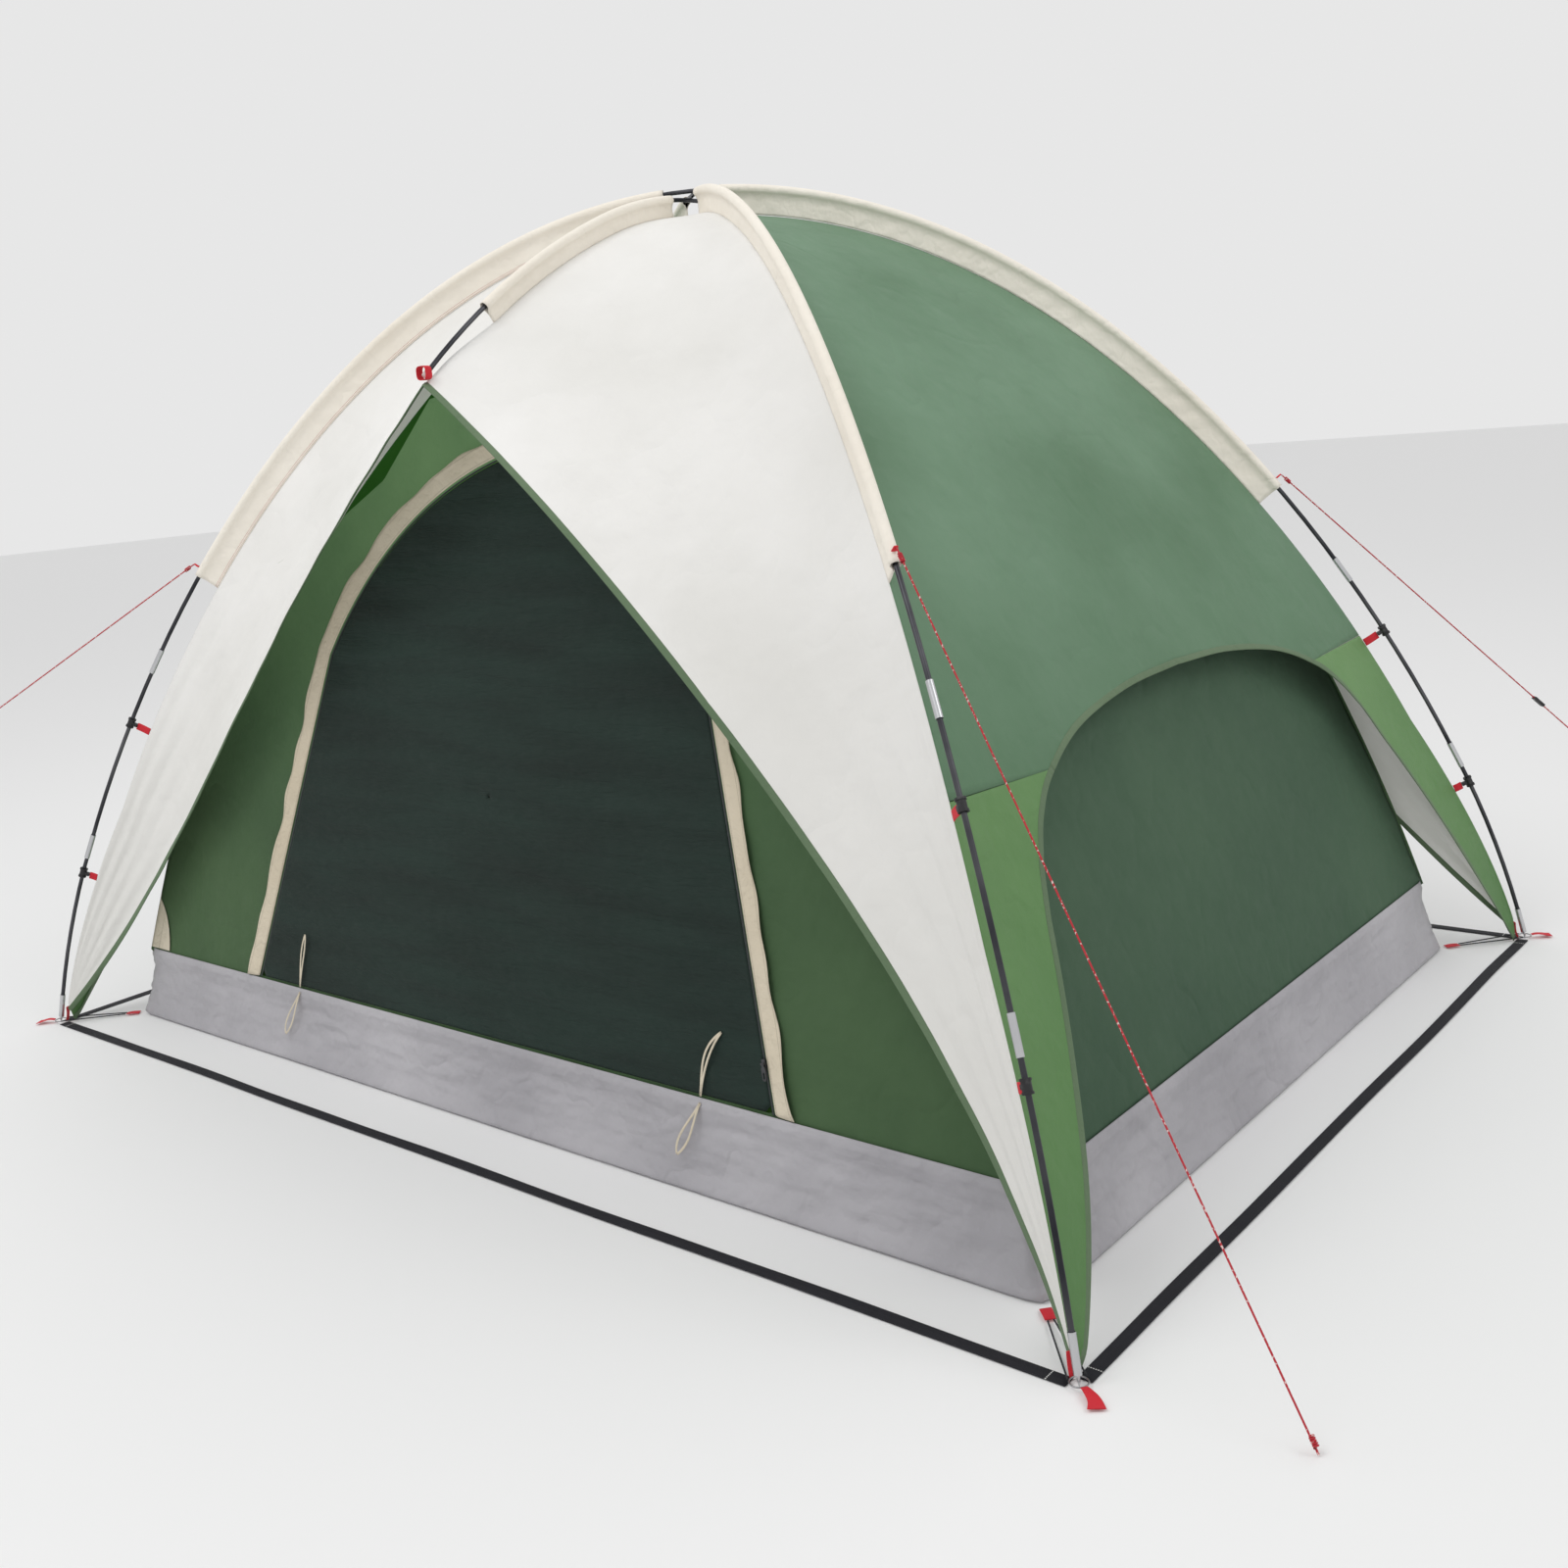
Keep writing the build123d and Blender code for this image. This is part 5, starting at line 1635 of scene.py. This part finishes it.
        normal = np.where(np.abs(x_part) > np.abs(y_part), np.sign(x_part) * [[[1.0, 0, 0]]],
                          np.sign(y_part) * [[[0, 1.0, 0]]])
        grid = grid + normal * ((crease - 0.004) * up)[..., None]
        inside = 1 - smooth(z, 0.002, 0.006)
        radius = np.linalg.norm(flat, axis=-1)
        wrinkles = np.abs(crumple(grid[..., 0], grid[..., 1], 93)) * 0.0012
        grid[..., 2] += inside * wrinkles * smooth(radius, 0.05, 0.3)
        return grid

    def side_wall(self, x_side: int, seed: int) -> Array:
        """A side wall: straight from front to back and curved in as it rises.

        Args:
            x_side: 1 on the right and -1 on the left.
            seed: picks its folds.

        Returns:
            The grid of points.
        """
        z = np.linspace(TUB_HEIGHT + 0.0012, EAVES, 70)
        y = np.linspace(-1, 1, 110)[:, None] * (wall_y(z) - 0.004)[None, :]
        x = x_side * (corner_x(z) - 0.0015)
        grid = np.stack([np.broadcast_to(x, y.shape), y, np.broadcast_to(z, y.shape)], -1)
        edge = (smooth(1 - np.abs(y) / 0.93, 0, 0.06) * smooth(z, TUB_HEIGHT, TUB_HEIGHT + 0.06)
                * smooth(EAVES - z, 0, 0.06))
        folds = crumple(y * 0.6, z * 0.9, seed) * 0.003
        return pushed(grid, folds * edge, np.array([x_side, 0, 0.2]))

    def roof(self) -> Array:
        """The roof: rows across the tent carried from the front wall's top over its crown to the back wall's.

        Returns:
            The grid of points, from front to back and from right to left.
        """
        eave = (float(corner_x(EAVES)), EAVES)
        ends = dense(np.array([eave, *self.top]), closed=False)
        mid = dense(np.array([eave, (0.69, 1.33), (0.48, 1.45), (0.26, 1.59), (0, 1.64)]), closed=False)
        crown = dense(np.array([eave, (0.7, 1.4), (0.5, 1.54), (0.27, 1.66), (0, ROOF_CROWN)]), closed=False)
        rows = [np.vstack([h, (h * [-1, 1])[-2::-1]]) for h in (resample(k, 60) for k in (ends, mid, crown))]
        across = np.linspace(-1, 1, 81)
        stacked = np.stack(rows)
        place = np.interp(np.abs(across), [0, self.roof_fold, 1], [2, 1, 0])
        i = np.minimum(place.astype(int), 1)
        t = (place - i)[:, None, None]
        flat = stacked[i] * (1 - t) + stacked[i + 1] * t
        y_edge = wall_y(flat[..., 1]) - 0.004
        inner = np.interp(np.abs(across), [0, self.roof_fold], [0, self.roof_fold_y])[:, None]
        outer = np.interp(np.abs(across), [self.roof_fold, 1], [0, 1])[:, None]
        y = np.sign(across)[:, None] * (inner + outer * (y_edge - self.roof_fold_y))
        return np.stack([flat[..., 0], y, flat[..., 1] + 0.001], -1)

    def build(self) -> None:
        """Builds the inner tent."""
        tub = Maker.cloth("floor_tub", self.tub(), 0.0012, None, closed=True)
        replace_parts(Finish.FLOOR.dress(tub), "bathtub_floor")
        sheet(tub)
        outline, door_line = self.outline(), self.door_line()
        hole = grown(door_line, self.door_gap)
        hole[:, 1] = np.maximum(hole[:, 1], SILL * SLANT)
        front = Maker.cloth("front_wall", self.fan(dense(hole), outline, 26, 101, -1, 0.0022), self.cloth,
                            np.array([0, -1.0, 0]), closed=True)
        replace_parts(Finish.WALL.dress(front), "inner_front_wall")
        sheet(front)
        back = Maker.cloth("back_wall", self.fan(None, outline, 60, 102, 1, 0.003), self.cloth,
                           np.array([0, 1.0, 0]), closed=True)
        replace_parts(Finish.WALL.dress(back), "inner_back_wall")
        sheet(back)
        for side, x_side in SIDES.items():
            wall = Maker.cloth(f"{side}_wall", self.side_wall(x_side, 103 + x_side), self.cloth,
                               np.array([x_side, 0, 0.2]))
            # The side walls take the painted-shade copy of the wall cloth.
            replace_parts(Finish.SIDE_WALL.dress(wall), f"inner_{side}_wall")
            sheet(wall)
        roof = Maker.cloth("inner_roof_cloth", self.roof(), self.cloth, UP)
        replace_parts(Finish.ROOF.dress(roof), "inner_roof")
        sheet(roof)
        door = Maker.cloth("door_cloth", self.door(), self.cloth, np.array([0, -1.0, 0]), closed=True)
        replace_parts(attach(Finish.DOOR.dress(door), "door"), "door_panel")
        zip_coil = Maker.cloth("door_coil_zip", self.band_on_wall(0.0012, 0.0052, 0.0012, 0.0, 5, 5), 0.0012,
                               np.array([0, -1.0, 0]))
        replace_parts(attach(Finish.ZIP.dress(zip_coil), "tent"), "door_zip")
        strip = self.band_on_wall(self.flap_start, self.flap_start + self.flap_width, 0.0028, 0.006, 6)
        flap = Maker.cloth("door_flap", strip, 0.0009, np.array([0, -1.0, 0]))
        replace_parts(Finish.TAPE.dress(flap), "door_zip_flap")
        sheet(flap)
        self.trim()
        log.info("built the inner tent")

    def trim(self) -> None:
        """Builds the door's tie loops and the corner patch."""
        bands = []
        t = np.linspace(0, 1, 41)
        for x, curl in ((-0.634, 0.0), (0.634, 0.03)):
            for low, high, lean, belly in ((TUB_HEIGHT + 0.014, 0.3, 0.012 + curl * t**3, 0.0055),
                                           (TUB_HEIGHT + 0.002, 0.064, -0.05, 0.0115)):
                for edge in (-1, 1):
                    side = x + lean * t + edge * belly * np.sin(pi * t**1.8) ** 0.8
                    path = on_wall(side, (low + (high - low) * t) * SLANT, 0.0072 + 0.002 * np.sin(pi * t))
                    bands.append(Maker.band(path, np.array([1.0, 0, 0]), 0.0048, 0.0012))
        loops = Maker.strips("door_ties", bands)
        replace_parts(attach(Finish.TAPE.dress(loops), "tent"), "door_tie_loops")
        low, high = TUB_HEIGHT + 0.014, 0.32
        t = np.linspace(0, 1, 40)
        left = np.stack([-corner_x(low + (high - low) * t) + 0.005, (low + (high - low) * t) * SLANT], -1)
        right = np.stack([-corner_x(low) + 0.005 + 0.088 * (1 - t**2.2) ** 0.6, left[:, 1]], -1)
        share = np.linspace(0, 1, 14)[None, :, None]
        flat = left[:, None] + share * (np.maximum(right, left + [0.0005, 0]) - left)[:, None]
        patch = Maker.cloth("stitched_corner_patch", on_wall(flat[..., 0], flat[..., 1], 0.0034), 0.0009,
                            np.array([0, -1.0, 0]))
        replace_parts(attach(Finish.TAPE.dress(patch), "tent"), "corner_patch")


@dataclass
class Cords:
    """The guy lines with their knots, and the elastics that hold the inner tent."""

    guy: float = 0.003
    elastic: float = 0.003
    hanger: float = 0.005
    ends: dict[Leg, tuple[float, float, float]] = field(default_factory=lambda: {
        Leg.FRONT_RIGHT: (1.83, -1.05, 0.0015), Leg.BACK_RIGHT: (1.885, 1.665, 0.0015),
        Leg.FRONT_LEFT: (-1.62, -1.088, 0.792)})

    def guy_start(self, leg: Leg) -> Array:
        """Where a guy line leaves its loop."""
        u = float(share_at(GUY_LOOP_AT))
        return leg.place(pole_inward(u, -LOOP_REACH), leg.over * POLE_LIFT * 0.3)

    def knot(self, name: str, place: Array, way: Array, wraps: int = 4) -> bpy.types.Object:
        """A wrapped knot: a helix of cord round the line with a short tail, carried as a tube.

        Args:
            name: the knot's name.
            place: where it starts.
            way: the line's direction.
            wraps: turns of cord in it.

        Returns:
            The knot.
        """
        side = unit(np.cross(way, UP))
        other = np.cross(side, way)
        turns = np.linspace(0, 2 * pi * wraps, 60)
        path = (place + way * (turns / (2 * pi) * 0.0032)[:, None]
                + 0.0031 * (side * np.cos(turns)[:, None] + other * np.sin(turns)[:, None]))
        grid = tube(path, self.guy / 2, 8)
        faces = Maker.quads(*grid.shape[:2], round_v=True)[:, ::-1]
        uv = np.zeros((grid.shape[0] * grid.shape[1], 2))
        return Maker.mesh(name, grid.reshape(-1, 3), faces, uv)

    def guys(self) -> None:
        """Builds the guy lines with a knot at each end."""
        for leg, end in self.ends.items():
            start, end = self.guy_start(leg), np.array(end)
            way = unit(end - start)
            start = start + way * 0.0025
            line = Maker.line(f"{leg.label}_guy", straight(start, end, 12), self.guy)
            top = self.knot(f"{leg.label}_guy_top_knot", start + way * 0.012, way, 5)
            low = self.knot(f"{leg.label}_guy_end_knot", end - way * 0.022, way, 5)
            low.data.transform(Matrix.Translation(Vector((0, 0, 0.004))))
            for piece in (line, top, low):
                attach(Finish.GUY.dress(piece), "tent")
            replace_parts(line, f"guy_line_{leg.label}")
            float(np.linalg.norm(end - start))

    def corner_elastics(self) -> None:
        """Builds the pair of elastics between each floor corner's tab and the foot beside it."""
        first = None
        for leg in Leg:
            corner = np.array([leg.value[0] * FLOOR_X, leg.value[1] * FLOOR_Y, 0.003])
            foot = leg.place(pole_curve(0.0)) + UP * 0.008
            way = unit(foot - corner)
            for side, label in ((-1, "a"), (1, "b")):
                start = corner + way * 0.0365 + leg.across * side * 0.005
                end = foot - way * 0.010 + leg.across * side * 0.0145
                piece = self.stretch(f"{leg.label}_corner_elastic_{label}", start, end, 7, self.elastic)
                first = first or piece
        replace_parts(first, "floor_corner_elastics")

    def hangers(self) -> None:
        """Builds the elastics that hang the inner tent from the fly, at its four eaves and its crown."""
        first = None
        for leg in Leg:
            eave = np.array([leg.value[0] * (float(corner_x(EAVES)) + 0.003),
                             leg.value[1] * (float(wall_y(EAVES)) + 0.003), EAVES + 0.003])
            seam = leg.place(seam_curve(float(share_at(1.25))))
            way = unit(seam - eave)
            piece = self.stretch(f"{leg.label}_hanging_elastic", eave + way * 0.003, seam - way * 0.023, 5,
                                 self.hanger)
            first = first or piece
        self.stretch("crown_hanging_elastic", np.array([0, 0, ROOF_CROWN + 0.005]),
                     np.array([0, 0, CROWN - SLEEVE_DEPTH - 0.006]), 5, self.hanger)
        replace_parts(first, "inner_hanging_elastics")

    def stretch(self, name: str, start: Array, end: Array, count: int, diameter: float) -> bpy.types.Object:
        """A taut elastic, made as a round cord.

        Args:
            name: its name.
            start: the end on the inner tent.
            end: the other end.
            count: how many points it has.
            diameter: how thick it is.

        Returns:
            The elastic.
        """
        piece = Maker.line(name, straight(start, end, count), diameter)
        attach(Finish.ELASTIC.dress(piece), "tent")
        float(np.linalg.norm(end - start))
        return piece

    def build(self) -> None:
        """Builds every cord."""
        self.guys()
        self.corner_elastics()
        self.hangers()
        log.info("built the cords")


@dataclass
class Studio:
    """A pale floor, soft lights and the camera."""

    place: tuple[float, float, float] = (2.5307, -2.7962, 1.3316)
    yaw: float = -40.74
    pitch: float = 12.40
    roll: float = -4.97
    lens: float = 36.25
    daylight: float = 0.8
    floor_half: float = 40.0

    def camera(self) -> None:
        """Sets up the camera from its turn, its tilt down and its roll."""
        yaw, pitch, roll = radians(self.yaw), radians(self.pitch), radians(self.roll)
        forward = Vector((sin(yaw) * cos(pitch), cos(yaw) * cos(pitch), -sin(pitch)))
        right = Vector((cos(yaw), -sin(yaw), 0))
        up = right.cross(forward)
        right, up = (cos(roll) * right + sin(roll) * up, -sin(roll) * right + cos(roll) * up)
        data = bpy.data.cameras.new("camera")
        data.lens, data.sensor_width, data.clip_end = self.lens, 36, 100
        camera = bpy.data.objects.new("camera", data)
        camera.matrix_world = Matrix.Translation(Vector(self.place)) @ Matrix(
            (right, up, -forward)).transposed().to_4x4()
        bpy.context.scene.collection.objects.link(camera)
        bpy.context.scene.camera = camera

    def light(self, name: str, place: tuple, target: tuple, size: float, power: float) -> None:
        """A square soft light that looks at a point.

        Args:
            name: its name.
            place: where it is.
            target: what it looks at.
            size: its side.
            power: its power in watts.
        """
        data = bpy.data.lights.new(name, "AREA")
        data.size, data.energy = size, power
        lamp = bpy.data.objects.new(name, data)
        lamp.location = place
        lamp.rotation_euler = (Vector(target) - Vector(place)).to_track_quat("-Z", "Y").to_euler()
        bpy.context.scene.collection.objects.link(lamp)

    def build(self) -> None:
        """Builds the floor, world, lights and camera."""
        scene = bpy.context.scene
        world = bpy.data.worlds.new("studio")
        world.use_nodes = True
        sky = world.node_tree.nodes["Background"]
        sky.inputs[0].default_value, sky.inputs[1].default_value = (1, 1, 1, 1), self.daylight
        scene.world = world
        scene.view_settings.view_transform = "Standard"
        corners = np.array([(x * self.floor_half, y * self.floor_half, -0.001)
                            for x, y in ((-1, -1), (1, -1), (1, 1), (-1, 1))])
        floor = Maker.mesh("studio_floor", corners, np.array([[0, 1, 2, 3]]), corners[:, :2])
        g = Graph("pale floor")
        floor.data.materials.append(g.surface(base_color=(0.85, 0.85, 0.85, 1), roughness=0.9))
        self.light("key", (-1.0, -3.6, 6.5), (0, 0, 0.6), 3.0, 120)
        self.light("side", (5.0, 1.0, 5.5), (0, 0, 0.6), 3.0, 50)
        self.camera()


def main() -> None:
    """Loads the frame, builds each sub-assembly in order and sets the studio."""
    logging.basicConfig(level=logging.INFO, format="%(name)s: %(message)s")
    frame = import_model()
    Poles().dress(frame["nodes"])
    Sleeves().build()
    Fly().build()
    Webbings().build()
    InnerTent().build()
    Cords().build()
    Studio().build()


if __name__ == "__main__":
    main()
